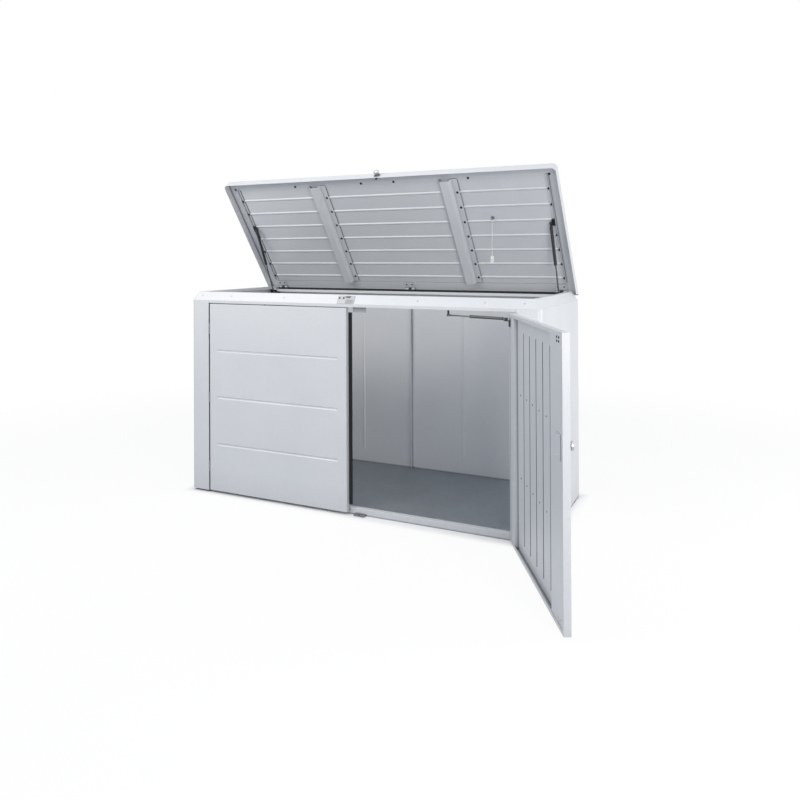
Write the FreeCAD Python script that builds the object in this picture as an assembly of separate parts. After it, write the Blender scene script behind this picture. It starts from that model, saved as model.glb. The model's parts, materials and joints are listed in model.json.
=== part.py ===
"""Garden storage box of folded sheet steel, with a gas-strut lid and two hinged front doors.

Millimetres. X runs along the front, Y from the front to the back, Z up. The origin is on the
ground under the middle of the cabinet. Lid and right door are drawn shut and then turned to
the open pose in which the box stands at rest; the left door rests shut.
"""
import math
import os

import FreeCAD
import Part

V = FreeCAD.Vector

# Overall sizes of the cabinet
WIDTH = 2000.0
DEPTH = 840.0
WALL_BOTTOM = 12.0
WALL_TOP = 1079.0
SHEET = 1.2
BEND = 1.0
CORNER_RADIUS = 22.0
POST_WIDTH = 118.0
POST_RETURN = 32.0
REAR_RETURN = 40.0
POST_LINER_RETURN = 58.0
POST_LINER_TOP = 1040.0
REAR_SEAM_FLANGE = 25.0

# Base and floor
BASE_HEIGHT = 34.0
BASE_FLANGE = 38.0
FLOOR_LAP = 28.0
FLOOR_EDGE_GAP = 2.0
ANCHOR_HOLE_RADIUS = 5.0
ANCHOR_SIDE_INSET = 100.0
ANCHOR_EDGE_INSET = 140.0
SUPPORT_CROWN = 60.0
SUPPORT_FOOT = 28.0

# Rim around the top opening
RIM_TOP = 1125.0
RIM_INSET = 26.0
RIM_FLANGE = 22.0
RIM_LIP = 16.0
REAR_RIM_LAP = 34.0
REAR_RIM_TOP = 1108.0
SIDE_RIM_REAR_GAP = 30.0
SEAL_WIDTH = 6.0
SEAL_HEIGHT = 13.0
SEAL_END_GAP = 17.0
RIM_CORNER = 12.0
RIM_INNER_CORNER = 6.0

# Door lintel and stop
LINTEL_BOTTOM = 1063.0
LINTEL_DEPTH = 58.0
LINTEL_UPSTAND = 15.0
STOP_LEFT = 20.0
STOP_RIGHT = 95.0
STOP_DEPTH = 27.0
STOP_GAP = 3.0
STOP_THICK = 3.0
STOP_LEG = 22.0

# Doors
DOOR_BOTTOM = 14.0
DOOR_TOP = 1059.0
DOOR_THICK = 28.0
HINGE_GAP = 8.0
MEETING_GAP = 6.0
DOOR_RETURN = 16.0
DOOR_EDGE_RADIUS = 2.5
DOOR_OPEN = 118.0
DOOR_BEADS = 3
DOOR_BEAD_INSET = 52.0
BEAD_WIDTH = 14.0
BEAD_DEPTH = 3.0
BEAD_FLOOR = 5.0
LINER_CLEARANCE = 0.5
HINGE_STILE = 93.0
LOCK_STILE = 165.0
LINER_BEADS = 5
LINER_BEAD_LEAD = 113.0
LINER_BEAD_TAIL = 72.0
LINER_BEAD_WIDTH = 16.0
LINER_BEAD_BOTTOM = 63.0
LINER_BEAD_TOP = 991.0
LOWER_STIFFENER = 346.0
UPPER_STIFFENER = 710.0
STIFFENER_WIDTH = 50.0
STIFFENER_MARGIN = 12.0
FIT = 0.05
SEAL_STRIP_LAP = 16.0
SEAL_STRIP_THICK = 3.0
SEAL_STRIP_BOTTOM = 50.0
SEAL_STRIP_TOP = 1035.0

# Door hinges
LOWER_HINGE = 150.0
MIDDLE_HINGE = 536.0
UPPER_HINGE = 920.0
HINGE_HEIGHT = 60.0
BARREL_RADIUS = 3.5
HINGE_PIN_RADIUS = 1.75
LEAF_THICK = 1.6
LEAF_DEPTH = 24.0
KNUCKLE_GAP = 0.4

# Door lock with its two bolts
KNOB_INSET = 58.0
KNOB_LEVEL = 656.0
KNOB_RADIUS = 17.0
KNOB_LENGTH = 24.0
KNOB_NECK_RADIUS = 8.0
KNOB_WAIST = 0.25
KNOB_SHOULDER = 0.5
KNOB_CROWN = 0.85
ROSE_RADIUS = 22.0
ROSE_THICK = 3.0
SPINDLE_RADIUS = 4.0
LOCK_CAM_RADIUS = 15.0
LOCK_PLATE_HEIGHT = 92.0
LOCK_PLATE_WIDTH = 64.0
LOCK_PLATE_THICK = 2.0
LOCK_PLATE_CORNER = 5.0
BOLT_WIDTH = 10.0
BOLT_THICK = 6.0
BOLT_CLEARANCE = 0.3
BOLT_DEPTH = 14.0
GUIDE_WIDTH = 36.0
GUIDE_HEIGHT = 24.0
GUIDE_INSET = 28.0
KEEPER_THICK = 4.0
KEEPER_LEVEL = 3.0
KEEPER_WIDTH = 60.0

# Door stays
STAY_LEVEL = 1036.0
STAY_EYE_HEIGHT = 10.0
STAY_EYE_RADIUS = 8.0
STAY_PIN_RADIUS = 3.0
STAY_TUBE_RADIUS = 7.0
STAY_TUBE_LENGTH = 200.0
STAY_ROD_RADIUS = 3.5
STAY_ROD_OVERLAP = 20.0
STAY_DOOR_BACK = 25.0
STAY_DOOR_DEEP = 46.0
STAY_REACH = 343.0
STAY_RAIL_DEEP = 48.0
STAY_BORE_LENGTH = 90.0
STAY_STUD_RADIUS = 4.8
OPEN_PIVOT_GAP = 0.3
BRACKET_THICK = 3.0

# Lid
LID_LIP = 1083.0
LID_TOP = 1131.0
LID_CORNER_RADIUS = 26.0
LID_EDGE_RADIUS = 3.0
LID_AXIS_INSET = 20.0
LID_AXIS_Z = 1120.0
LID_OPEN = 52.7
LID_HEM = 12.0
LID_CUT_INSET = 35.0
LID_CUT_RISE = 26.0
LID_BEADS = 7
LID_BEAD_LEAD = 143.0
LID_BEAD_TAIL = 115.0
LID_BEAD_DEPTH = 4.0
LID_BEAD_END = 60.0
LID_FRONT_LEG = 66.0
LID_SKIRT_LEG = 14.0
LID_STIFFENER_CROWN = 44.0
LID_STIFFENER_FOOT = 68.0
LID_STIFFENER_FLANGE = 32.0
LID_STIFFENER_LIP = 8.0
LID_STIFFENER_DEPTH = 24.0
LID_STIFFENER_LEAD = 58.0
LID_STIFFENER_TAIL = 80.0
LID_SIDE_RAIL_GAP = 5.0
LID_SIDE_RAIL_FLANGE = 15.0
LID_SIDE_RAIL_LIP = 12.0
LID_REAR_RAIL_WIDTH = 44.0
LID_REAR_RAIL_INSET = 26.0
LID_REAR_RAIL_THICK = 2.0

# Lid hinges
LID_HINGE_INSET = 88.0
LID_HINGE_WIDTH = 60.0
LID_BARREL_RADIUS = 6.0
LID_PIN_RADIUS = 3.0
LID_LEAF_THICK = 2.0
LID_LEAF_LENGTH = 48.0
LID_WEB_REACH = 4.2

# Lid lock
LOCK_X = 25.0
LID_KNOB_LEVEL = 1108.0
LID_KNOB_RADIUS = 15.0
LID_KNOB_LENGTH = 26.0
LID_ROSE_RADIUS = 19.0
CAM_INSET = 6.0
CAM_THICK = 3.0
CAM_LENGTH = 32.0
CAM_WIDTH = 12.0
CAM_HUB_RADIUS = 8.4
CAM_SLOT_LEFT = 35.0
CAM_SLOT_RIGHT = 9.0
CAM_SLOT_BOTTOM = 1082.0
CAM_SLOT_TOP = 1100.0
STRIKE_LEFT = 82.0
STRIKE_RIGHT = 15.0
STRIKE_BOTTOM = 1080.0
STRIKE_TOP = 1120.0
NOSE_LEFT = 37.0
NOSE_RIGHT = 13.0
NOSE_BOTTOM = 1116.0
NOSE_THICK = 3.0
NOSE_REACH = 10.0
STRIKE_THICK = 1.0

# Gas struts of the lid
STRUT_INSET = 78.0
STRUT_LEVER = 470.0
STRUT_LID_Z = 1111.0
STRUT_WALL_INSET = 102.0
STRUT_WALL_Z = 1050.0
STRUT_EYE_WIDTH = 10.0
STRUT_EYE_RADIUS = 9.0
STRUT_PIN_RADIUS = 4.0
STRUT_TUBE_RADIUS = 8.5
STRUT_TUBE_LENGTH = 240.0
STRUT_BORE_LENGTH = 125.0
STRUT_ROD_RADIUS = 4.0
STRUT_ROD_OVERLAP = 25.0
STRUT_PLATE = 46.0
STRUT_FOOT = 42.0
STRUT_STUD_FOOT_RADIUS = 19.8
STRUT_STUD_TIP_RADIUS = 6.3
STRUT_EYE_GAP = 1.0
STRUT_PIN_PROUD = 2.0
EYE_NECK_LENGTH = 2.4
EYE_NECK_SHARE = 0.6
ROD_NECK_LENGTH = 2.2
ROD_NECK_SHARE = 1.2

# Lifting cord
CORD_SIDE_INSET = 388.0
CORD_BEADS = 2
CORD_BEAD_INSET = 21.0
CORD_DROP = 14.0
CORD_RADIUS = 1.5
CORD_LENGTH = 190.0
CORD_EYE_RADIUS = 5.0
CORD_EYE_WIRE = 1.5
CORD_EYE_GAP = 0.3
CLIP_LENGTH = 34.0
CLIP_WIDTH = 16.0
CLIP_THICK = 5.0
CLIP_CORNER = 4.8
CLIP_HOLE_RADIUS = 4.0
CLIP_HOLE_DROP = 21.0

# Values that follow from the driving sizes
SIDE = WIDTH / 2
FRONT = -DEPTH / 2
BACK = DEPTH / 2
POST_EDGE = SIDE - POST_WIDTH
DOOR_EDGE = POST_EDGE - HINGE_GAP
AXIS_X = POST_EDGE - HINGE_GAP / 2
MEETING_EDGE = MEETING_GAP / 2
DOOR_BACK = FRONT + DOOR_THICK
SILL_FACE = FRONT + POST_RETURN
INNER_SIDE = SIDE - SHEET
INNER_BACK = BACK - 2 * SHEET
RIM_INNER = RIM_INSET + RIM_FLANGE
ANCHOR_X = SIDE - ANCHOR_SIDE_INSET
ANCHOR_Y = BACK - ANCHOR_EDGE_INSET
SUPPORT_SPACING = WIDTH / 4
LOCK_LINE = MEETING_EDGE + KNOB_INSET
LOCK_STEP = AXIS_X - MEETING_EDGE - LOCK_STILE
LINER_PANEL = FRONT + SHEET + 2 * BEAD_DEPTH + LINER_CLEARANCE
STIFFENER_LEVELS = (LOWER_STIFFENER, UPPER_STIFFENER)
HINGE_LEVELS = (LOWER_HINGE, MIDDLE_HINGE, UPPER_HINGE)
STAY_RAIL_X = AXIS_X - STAY_REACH
LID_UNDER = LID_TOP - SHEET
RIDGE_UNDER = LID_UNDER - LID_BEAD_DEPTH
LID_AXIS_Y = BACK - LID_AXIS_INSET
LID_AXIS = V(0, LID_AXIS_Y, LID_AXIS_Z)
LID_CUT_START = BACK - LID_CUT_INSET
LID_BEAD_PITCH = (DEPTH - LID_BEAD_LEAD - LID_BEAD_TAIL) / (LID_BEADS - 1)
LID_BEAD_PLACES = [FRONT + LID_BEAD_LEAD + LID_BEAD_PITCH * i for i in range(LID_BEADS)]
LID_STIFFENER_X = WIDTH / 5
LID_STIFFENER_FRONT = FRONT + LID_STIFFENER_LEAD
LID_STIFFENER_REAR = BACK - LID_STIFFENER_TAIL
LID_REAR_RAIL_BACK = BACK - LID_REAR_RAIL_INSET
LID_REAR_RAIL_FRONT = LID_REAR_RAIL_BACK - LID_REAR_RAIL_WIDTH
LID_HINGES = (LID_HINGE_INSET - SIDE, 0.0, SIDE - LID_HINGE_INSET)
LID_LEAF_FRONT = LID_AXIS_Y - LID_LEAF_LENGTH
STRUT_X = SIDE - STRUT_INSET
STRUT_LID_Y = LID_AXIS_Y - STRUT_LEVER
STRUT_WALL_Y = BACK - STRUT_WALL_INSET
CORD_X = SIDE - CORD_SIDE_INSET
CORD_Y = FRONT + LID_BEAD_LEAD + LID_BEAD_PITCH * CORD_BEADS - CORD_BEAD_INSET


def box(x0, x1, y0, y1, z0, z1):
    """Block between two corners."""
    return Part.makeBox(x1 - x0, y1 - y0, z1 - z0, V(x0, y0, z0))


def pin(start, end, radius):
    """Round bar from one point to another."""
    along = end.sub(start)
    return Part.makeCylinder(radius, along.Length, start, along)


def prism(points, along):
    """Straight solid over a flat outline."""
    return Part.Face(Part.makePolygon(points + points[:1])).extrude(along)


def mirrored(shape):
    """The same piece on the other side of the box."""
    return shape.mirror(V(0, 0, 0), V(1, 0, 0))


def section(points, place):
    """Face of a folded sheet: the path is its outer side and the thickness lies to its left.
    A point may carry the inside radius of its own bend as a third value."""
    outer, inner = [], []
    last = len(points) - 1
    heads = []
    for i in range(last):
        du, dv = points[i + 1][0] - points[i][0], points[i + 1][1] - points[i][1]
        run = math.hypot(du, dv)
        heads.append((du / run, dv / run))

    def shifted(point, head, along, aside):
        u = point[0] + head[0] * along - head[1] * aside
        v = point[1] + head[1] * along + head[0] * aside
        return place(u, v)

    def line(edges, start, end):
        if start.sub(end).Length > 1e-6:
            edges.append(Part.LineSegment(start, end).toShape())

    outer_end = shifted(points[0], heads[0], 0, 0)
    inner_end = shifted(points[0], heads[0], 0, SHEET)
    for i in range(1, last):
        before, after = heads[i - 1], heads[i]
        turn = math.atan2(before[0] * after[1] - before[1] * after[0],
                          before[0] * after[0] + before[1] * after[1])
        left = turn > 0
        radius = points[i][2] if len(points[i]) > 2 else BEND
        path_radius = radius + SHEET if left else radius
        reach = path_radius * math.tan(abs(turn) / 2)
        side = path_radius if left else -path_radius
        mid_head = (before[0] + after[0], before[1] + after[1])
        size = math.hypot(*mid_head)
        mid_head = (mid_head[0] / size, mid_head[1] / size)
        centre = (points[i][0] - before[0] * reach - before[1] * side,
                  points[i][1] - before[1] * reach + before[0] * side)
        for edges, aside in ((outer, 0), (inner, SHEET)):
            start = shifted(points[i], before, -reach, aside)
            finish = shifted(points[i], after, reach, aside)
            middle = shifted(centre, mid_head, 0, aside - side)
            line(edges, outer_end if edges is outer else inner_end, start)
            edges.append(Part.Arc(start, middle, finish).toShape())
            if edges is outer:
                outer_end = finish
            else:
                inner_end = finish
    outer_last = shifted(points[last], heads[-1], 0, 0)
    inner_last = shifted(points[last], heads[-1], 0, SHEET)
    line(outer, outer_end, outer_last)
    line(inner, inner_end, inner_last)
    first = Part.LineSegment(shifted(points[0], heads[0], 0, SHEET),
                             shifted(points[0], heads[0], 0, 0)).toShape()
    closing = Part.LineSegment(outer_last, inner_last).toShape()
    return Part.Face(Part.Wire(Part.__sortEdges__([first] + outer + [closing] + inner)))


def fold_up(points, z0, z1):
    """Folded sheet with a plan outline, standing between two levels."""
    return section(points, lambda u, v: V(u, v, z0)).extrude(V(0, 0, z1 - z0))


def fold_across(points, x0, x1):
    """Folded sheet with an outline in Y and Z, running along X."""
    return section(points, lambda u, v: V(x0, u, v)).extrude(V(x1 - x0, 0, 0))


def fold_back(points, y0, y1):
    """Folded sheet with an outline in X and Z, running along Y."""
    return section(points, lambda u, v: V(u, y0, v)).extrude(V(0, y1 - y0, 0))


def bead(centre, along, across, into, length, width, depth, grow=0.0):
    """Pressed bead: a shallow trough with sloping sides and ends."""
    def ring(level, long, wide):
        corners = [centre.add(into * level).add(along * (a * long / 2)).add(across * (b * wide / 2))
                   for a, b in ((-1, -1), (1, -1), (1, 1), (-1, 1))]
        return Part.makePolygon(corners + corners[:1])
    slope = (width - min(width, BEAD_FLOOR)) / 2
    top = ring(0, length + grow, width + grow)
    floor = ring(depth, length - 2 * slope + grow, width - 2 * slope + grow)
    return Part.makeLoft([top, floor], True, True)


def cut_all(shape, tools):
    """Cut several tools from a shape at once."""
    return shape.cut(Part.Compound(tools)) if tools else shape


def fuse_all(shapes):
    """Join several shapes into one solid without seams."""
    joined = shapes[0].multiFuse(shapes[1:])
    return joined.removeSplitter()


def group(shapes):
    """Several like pieces kept as separate solids."""
    return Part.Compound(shapes)


# Cabinet: side walls with their front posts

def side_wall():
    """Left wall: one sheet folded round the front post and the rear corner."""
    inside = CORNER_RADIUS - SHEET
    path = [(-SIDE + REAR_RETURN, BACK), (-SIDE, BACK, inside), (-SIDE, FRONT, inside), (-POST_EDGE, FRONT),
            (-POST_EDGE, FRONT + POST_RETURN)]
    notch = box(-POST_EDGE - SHEET - 2 * BEND, -POST_EDGE, FRONT + SHEET, FRONT + POST_RETURN + SHEET,
                LINTEL_BOTTOM, WALL_TOP)
    return fold_up(path, WALL_BOTTOM, WALL_TOP).cut(notch)


def post_liner():
    """Angle behind the left front post that stiffens it."""
    face = SILL_FACE + SHEET
    path = [(-INNER_SIDE, face + POST_LINER_RETURN), (-INNER_SIDE, face), (-POST_EDGE, face)]
    return fold_up(path, BASE_HEIGHT + FLOOR_EDGE_GAP, POST_LINER_TOP)


def rear_wall():
    """Left half of the back: a beaded sheet with a seam flange in the middle."""
    outside = BACK - SHEET
    edge = SIDE - CORNER_RADIUS - SHEET
    seam = FIT
    path = [(-seam, outside - REAR_SEAM_FLANGE), (-seam, outside), (-edge, outside)]
    wall = fold_up(path, WALL_BOTTOM, WALL_TOP)
    inside = outside - SHEET
    low = box(-edge, 0, inside - REAR_SEAM_FLANGE, inside, 0, BASE_HEIGHT + FLOOR_EDGE_GAP)
    high = box(-edge, 0, inside - REAR_SEAM_FLANGE, inside, WALL_TOP - REAR_RIM_LAP - FLOOR_EDGE_GAP, RIM_TOP)
    wall = cut_all(wall, [low, high])
    middle = (WALL_BOTTOM + WALL_TOP) / 2
    length = WALL_TOP - WALL_BOTTOM - 4 * DOOR_BEAD_INSET
    step = (edge - seam) / 3
    for i in range(2):
        x = -seam - step * (i + 1)
        outer = bead(V(x, outside, middle), V(0, 0, 1), V(1, 0, 0), V(0, -1, 0),
                     length, BEAD_WIDTH, BEAD_DEPTH)
        ridge = bead(V(x, outside - SHEET, middle), V(0, 0, 1), V(1, 0, 0), V(0, -1, 0),
                     length, BEAD_WIDTH, BEAD_DEPTH, SHEET)
        wall = wall.fuse(ridge).cut(outer)
    return wall


# Cabinet: base and floor

def front_sill():
    path = [(SILL_FACE + BASE_FLANGE, BASE_HEIGHT), (SILL_FACE, BASE_HEIGHT), (SILL_FACE, 0),
            (SILL_FACE + BASE_FLANGE, 0)]
    return fold_across(path, -INNER_SIDE, INNER_SIDE)


def rear_base_rail():
    path = [(INNER_BACK - BASE_FLANGE, 0), (INNER_BACK, 0), (INNER_BACK, BASE_HEIGHT),
            (INNER_BACK - BASE_FLANGE, BASE_HEIGHT)]
    inside = SIDE - CORNER_RADIUS - SHEET
    return fold_across(path, -inside, inside)


def side_base_rail():
    path = [(-INNER_SIDE + BASE_FLANGE, BASE_HEIGHT), (-INNER_SIDE, BASE_HEIGHT), (-INNER_SIDE, 0),
            (-INNER_SIDE + BASE_FLANGE, 0)]
    return fold_back(path, SILL_FACE + BASE_FLANGE, INNER_BACK - BASE_FLANGE)


def floor_support(x):
    """Hat channel under the floor, crown on the ground, running from the sill to the rear rail."""
    crown, seat = SUPPORT_CROWN / 2, BASE_HEIGHT - SHEET
    path = [(x - crown - SUPPORT_FOOT, seat), (x - crown, seat), (x - crown, 0), (x + crown, 0),
            (x + crown, seat), (x + crown + SUPPORT_FOOT, seat)]
    return fold_back(path, SILL_FACE + BASE_FLANGE, INNER_BACK - BASE_FLANGE)


def floor_panel():
    side = INNER_SIDE - FLOOR_EDGE_GAP
    panel = box(-side, side, SILL_FACE + FLOOR_LAP, INNER_BACK - CORNER_RADIUS,
                BASE_HEIGHT, BASE_HEIGHT + SHEET)
    holes = [pin(V(x, y, 0), V(x, y, 2 * BASE_HEIGHT), ANCHOR_HOLE_RADIUS)
             for x in (-ANCHOR_X, ANCHOR_X) for y in (-ANCHOR_Y, ANCHOR_Y)]
    return cut_all(panel, holes)


# Cabinet: rim around the opening

def mitre_wedge(along_front):
    """Plan region that a rim keeps at its mitred corners."""
    reach = RIM_INNER + SHEET
    if along_front:
        plan = [(-SIDE, FRONT), (SIDE, FRONT), (SIDE - reach, FRONT + reach), (-SIDE + reach, FRONT + reach)]
    else:
        end = BACK - SIDE_RIM_REAR_GAP
        plan = [(-SIDE, FRONT), (-SIDE + reach, FRONT + reach), (-SIDE + reach, end), (-SIDE, end)]
    return prism([V(x, y, 0) for x, y in plan], V(0, 0, 2 * RIM_TOP))


def rounded_rectangle(inset, radius, z):
    """Plan outline of the cabinet, drawn in by an inset."""
    side, deep = SIDE - inset, BACK - inset
    diagonal = radius * (1 - math.sqrt(0.5))
    edges = []
    for sx, sy, along_x in ((1, -1, True), (1, 1, False), (-1, 1, True), (-1, -1, False)):
        first = V(sx * (side - radius), sy * deep, z) if along_x else V(sx * side, sy * (deep - radius), z)
        last = V(sx * side, sy * (deep - radius), z) if along_x else V(sx * (side - radius), sy * deep, z)
        middle = V(sx * (side - diagonal), sy * (deep - diagonal), z)
        if edges:
            edges.append(Part.LineSegment(edges[-1].valueAt(edges[-1].LastParameter), first).toShape())
        edges.append(Part.Arc(first, middle, last).toShape())
    start = edges[0].valueAt(edges[0].FirstParameter)
    edges.append(Part.LineSegment(edges[-1].valueAt(edges[-1].LastParameter), start).toShape())
    return Part.Wire(edges)


def plan_block(inset, radius, z0, z1):
    """Upright block over the drawn-in plan outline."""
    return Part.Face(rounded_rectangle(inset, radius, z0)).extrude(V(0, 0, z1 - z0))


def rim_ring():
    """The whole rim before it is parted: lap inside the walls, sloping face, flange and lip."""
    lap = LINTEL_BOTTOM + SHEET + BEND
    run, rise = RIM_INSET - SHEET, RIM_TOP - WALL_TOP
    across = SHEET * math.hypot(run, rise) / rise
    under = RIM_TOP - SHEET
    wall_corner = CORNER_RADIUS - SHEET
    slope = Part.makeLoft([rounded_rectangle(SHEET, wall_corner, WALL_TOP),
                           rounded_rectangle(RIM_INSET, RIM_CORNER, RIM_TOP)], True, True)
    outer = plan_block(SHEET, wall_corner, lap, WALL_TOP).fuse(slope)
    crest_inset = RIM_INSET - SHEET * run / rise + across
    hollow = Part.makeLoft([rounded_rectangle(2 * SHEET, wall_corner - SHEET, WALL_TOP),
                            rounded_rectangle(crest_inset, RIM_CORNER - SHEET, under)], True, True)
    inner = plan_block(2 * SHEET, wall_corner - SHEET, lap - SHEET, WALL_TOP).fuse(hollow)
    window = plan_block(RIM_INNER, RIM_INNER_CORNER, WALL_TOP, 2 * RIM_TOP)
    lip = plan_block(RIM_INNER - SHEET, RIM_INNER_CORNER + SHEET, RIM_TOP - RIM_LIP, RIM_TOP)
    return outer.cut(inner).fuse(lip).cut(window)


def slope_place(level):
    """Depth behind the front plane of the sloping rim face at a level."""
    share = (level - WALL_TOP) / (RIM_TOP - WALL_TOP)
    return FRONT + SHEET + share * (RIM_INSET - SHEET)


def strike_slot():
    """Opening in the sloping rim through which the lid's cam passes."""
    return box(LOCK_X - CAM_SLOT_LEFT, LOCK_X + CAM_SLOT_RIGHT, FRONT, FRONT + RIM_INSET,
               CAM_SLOT_BOTTOM, CAM_SLOT_TOP)


def bolt_slot(z0, z1, clearance):
    """Passage of a door bolt, in the plan place of the shut right door."""
    x = LOCK_LINE
    y = FRONT + BOLT_DEPTH
    return box(x - BOLT_WIDTH / 2 - clearance, x + BOLT_WIDTH / 2 + clearance,
               y - BOLT_THICK / 2 - clearance, y + BOLT_THICK / 2 + clearance, z0, z1)


def front_rim(ring):
    """Front of the ring between its mitres, with the passage of the lid's cam."""
    return ring.common(mitre_wedge(True)).cut(strike_slot())


def front_lintel():
    """Folded rail over the doors, between the posts."""
    rear = FRONT + LINTEL_DEPTH
    path = [(FRONT, WALL_TOP), (FRONT, LINTEL_BOTTOM), (rear, LINTEL_BOTTOM),
            (rear, LINTEL_BOTTOM + LINTEL_UPSTAND)]
    slot = bolt_slot(LINTEL_BOTTOM - SHEET, LINTEL_BOTTOM + 2 * SHEET, 4 * BOLT_CLEARANCE)
    return fold_across(path, -POST_EDGE, POST_EDGE).cut(slot)


def door_stop():
    """Angle under the lintel that the right door shuts against."""
    face = DOOR_BACK + STOP_GAP
    upright = box(STOP_LEFT, STOP_RIGHT, face, face + STOP_THICK, LINTEL_BOTTOM - STOP_DEPTH, LINTEL_BOTTOM)
    leg = box(STOP_LEFT, STOP_RIGHT, face, face + STOP_LEG, LINTEL_BOTTOM - STOP_THICK, LINTEL_BOTTOM)
    return fuse_all([upright, leg])


def rear_rim():
    """Lower rim at the back that carries the lid's hinges."""
    face, crest, lip = INNER_BACK, BACK - SHEET - RIM_INSET, BACK - SHEET - RIM_INNER
    path = [(face, WALL_TOP - REAR_RIM_LAP), (face, WALL_TOP), (crest, REAR_RIM_TOP), (lip, REAR_RIM_TOP),
            (lip, REAR_RIM_TOP - RIM_LIP)]
    inside = SIDE - RIM_INNER - FLOOR_EDGE_GAP
    return fold_across(path, -inside, inside)


def rear_seal():
    """Rubber strip that closes the gap under the lid's rear edge."""
    inner = BACK - SHEET - RIM_INNER + SHEET
    side = SIDE - RIM_INNER - SEAL_END_GAP
    strip = box(-side, side, inner, inner + SEAL_WIDTH, REAR_RIM_TOP, REAR_RIM_TOP + SEAL_HEIGHT)
    middle = REAR_RIM_TOP + SEAL_HEIGHT / 2
    ridge = [e for e in strip.Edges if e.BoundBox.ZMin > middle and e.BoundBox.XLength > side]
    return strip.makeFillet(SEAL_WIDTH / 2 - FIT, ridge)


def on_slope(level, out):
    """Point of the YZ plane on the sloping front rim, raised square to it."""
    run = RIM_INSET - SHEET
    rise = RIM_TOP - WALL_TOP
    size = math.hypot(run, rise)
    return slope_place(level) - out * rise / size, level + out * run / size


def lid_strike():
    """Plate screwed on the sloping rim, with the slot for the cam and the nose that holds it down."""
    corners = [on_slope(STRIKE_BOTTOM, 0), on_slope(STRIKE_TOP, 0),
               on_slope(STRIKE_TOP, STRIKE_THICK), on_slope(STRIKE_BOTTOM, STRIKE_THICK)]
    plate = prism([V(LOCK_X - STRIKE_LEFT, y, z) for y, z in corners], V(STRIKE_LEFT + STRIKE_RIGHT, 0, 0))
    crest = NOSE_BOTTOM + NOSE_THICK
    reach = slope_place(crest) - NOSE_REACH
    edge = [(reach, NOSE_BOTTOM), on_slope(NOSE_BOTTOM, 0), on_slope(crest, 0), (reach, crest)]
    nose = prism([V(LOCK_X - NOSE_LEFT, y, z) for y, z in edge], V(NOSE_LEFT - NOSE_RIGHT, 0, 0))
    return plate.cut(strike_slot()).fuse(nose)


# Door hinges, drawn for the left door

def knuckle(z0, z1, leaf_x0, leaf_x1, depth0):
    """Barrel stretch with its leaf."""
    leaf = box(min(leaf_x0, leaf_x1), max(leaf_x0, leaf_x1), depth0, FRONT + LEAF_DEPTH, z0, z1)
    barrel = pin(V(-AXIS_X, FRONT, z0), V(-AXIS_X, FRONT, z1), BARREL_RADIUS)
    half = LEAF_THICK / 2
    web = box(min(leaf_x0, -AXIS_X), max(leaf_x1, -AXIS_X), FRONT - half, FRONT + half, z0, z1)
    bore = pin(V(-AXIS_X, FRONT, z0), V(-AXIS_X, FRONT, z1), HINGE_PIN_RADIUS + FIT)
    return fuse_all([leaf, barrel, web]).cut(bore)


def hinge_fixed(level):
    third = HINGE_HEIGHT / 3
    return knuckle(level - third / 2, level + third / 2, -POST_EDGE, -POST_EDGE + LEAF_THICK, FRONT)


def hinge_moving(level):
    near = HINGE_HEIGHT / 6 + KNUCKLE_GAP
    far = HINGE_HEIGHT / 2
    return [knuckle(z0, z1, -DOOR_EDGE - LEAF_THICK, -DOOR_EDGE, FRONT)
            for z0, z1 in ((level - far, level - near), (level + near, level + far))]


def hinge_pin(level):
    return pin(V(-AXIS_X, FRONT, level - HINGE_HEIGHT / 2), V(-AXIS_X, FRONT, level + HINGE_HEIGHT / 2),
               HINGE_PIN_RADIUS)


# Doors, drawn shut on the left

def door_skin():
    """Tray of the door: outer face with pressed beads, edges folded back and in."""
    outer = box(-DOOR_EDGE, -MEETING_EDGE, FRONT, DOOR_BACK, DOOR_BOTTOM, DOOR_TOP)
    face_edges = [e for e in outer.Edges if e.BoundBox.YMax < FRONT + SHEET]
    outer = outer.makeFillet(DOOR_EDGE_RADIUS, face_edges)
    inner = box(-DOOR_EDGE + SHEET, -MEETING_EDGE - SHEET, FRONT + SHEET, DOOR_BACK - SHEET,
                DOOR_BOTTOM + SHEET, DOOR_TOP - SHEET)
    window = box(-DOOR_EDGE + DOOR_RETURN, -MEETING_EDGE - DOOR_RETURN,
                 DOOR_BACK - 2 * SHEET, DOOR_BACK + SHEET, DOOR_BOTTOM + DOOR_RETURN, DOOR_TOP - DOOR_RETURN)
    middle = -(DOOR_EDGE + MEETING_EDGE) / 2
    length = DOOR_EDGE - MEETING_EDGE - 2 * DOOR_BEAD_INSET
    grooves, ridges = [], []
    for i in range(DOOR_BEADS):
        level = DOOR_BOTTOM + (DOOR_TOP - DOOR_BOTTOM) * (i + 1) / (DOOR_BEADS + 1)
        grooves.append(bead(V(middle, FRONT, level), V(1, 0, 0), V(0, 0, 1), V(0, 1, 0),
                            length, BEAD_WIDTH, BEAD_DEPTH))
        ridges.append(bead(V(middle, FRONT + SHEET, level), V(1, 0, 0), V(0, 0, 1), V(0, 1, 0),
                           length, BEAD_WIDTH, BEAD_DEPTH, SHEET))
    return cut_all(outer, grooves).cut(cut_all(inner, ridges)).cut(window)


def from_hinge(distance):
    """X place of a distance along the shut left door from its hinge axis."""
    return -AXIS_X + distance


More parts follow.
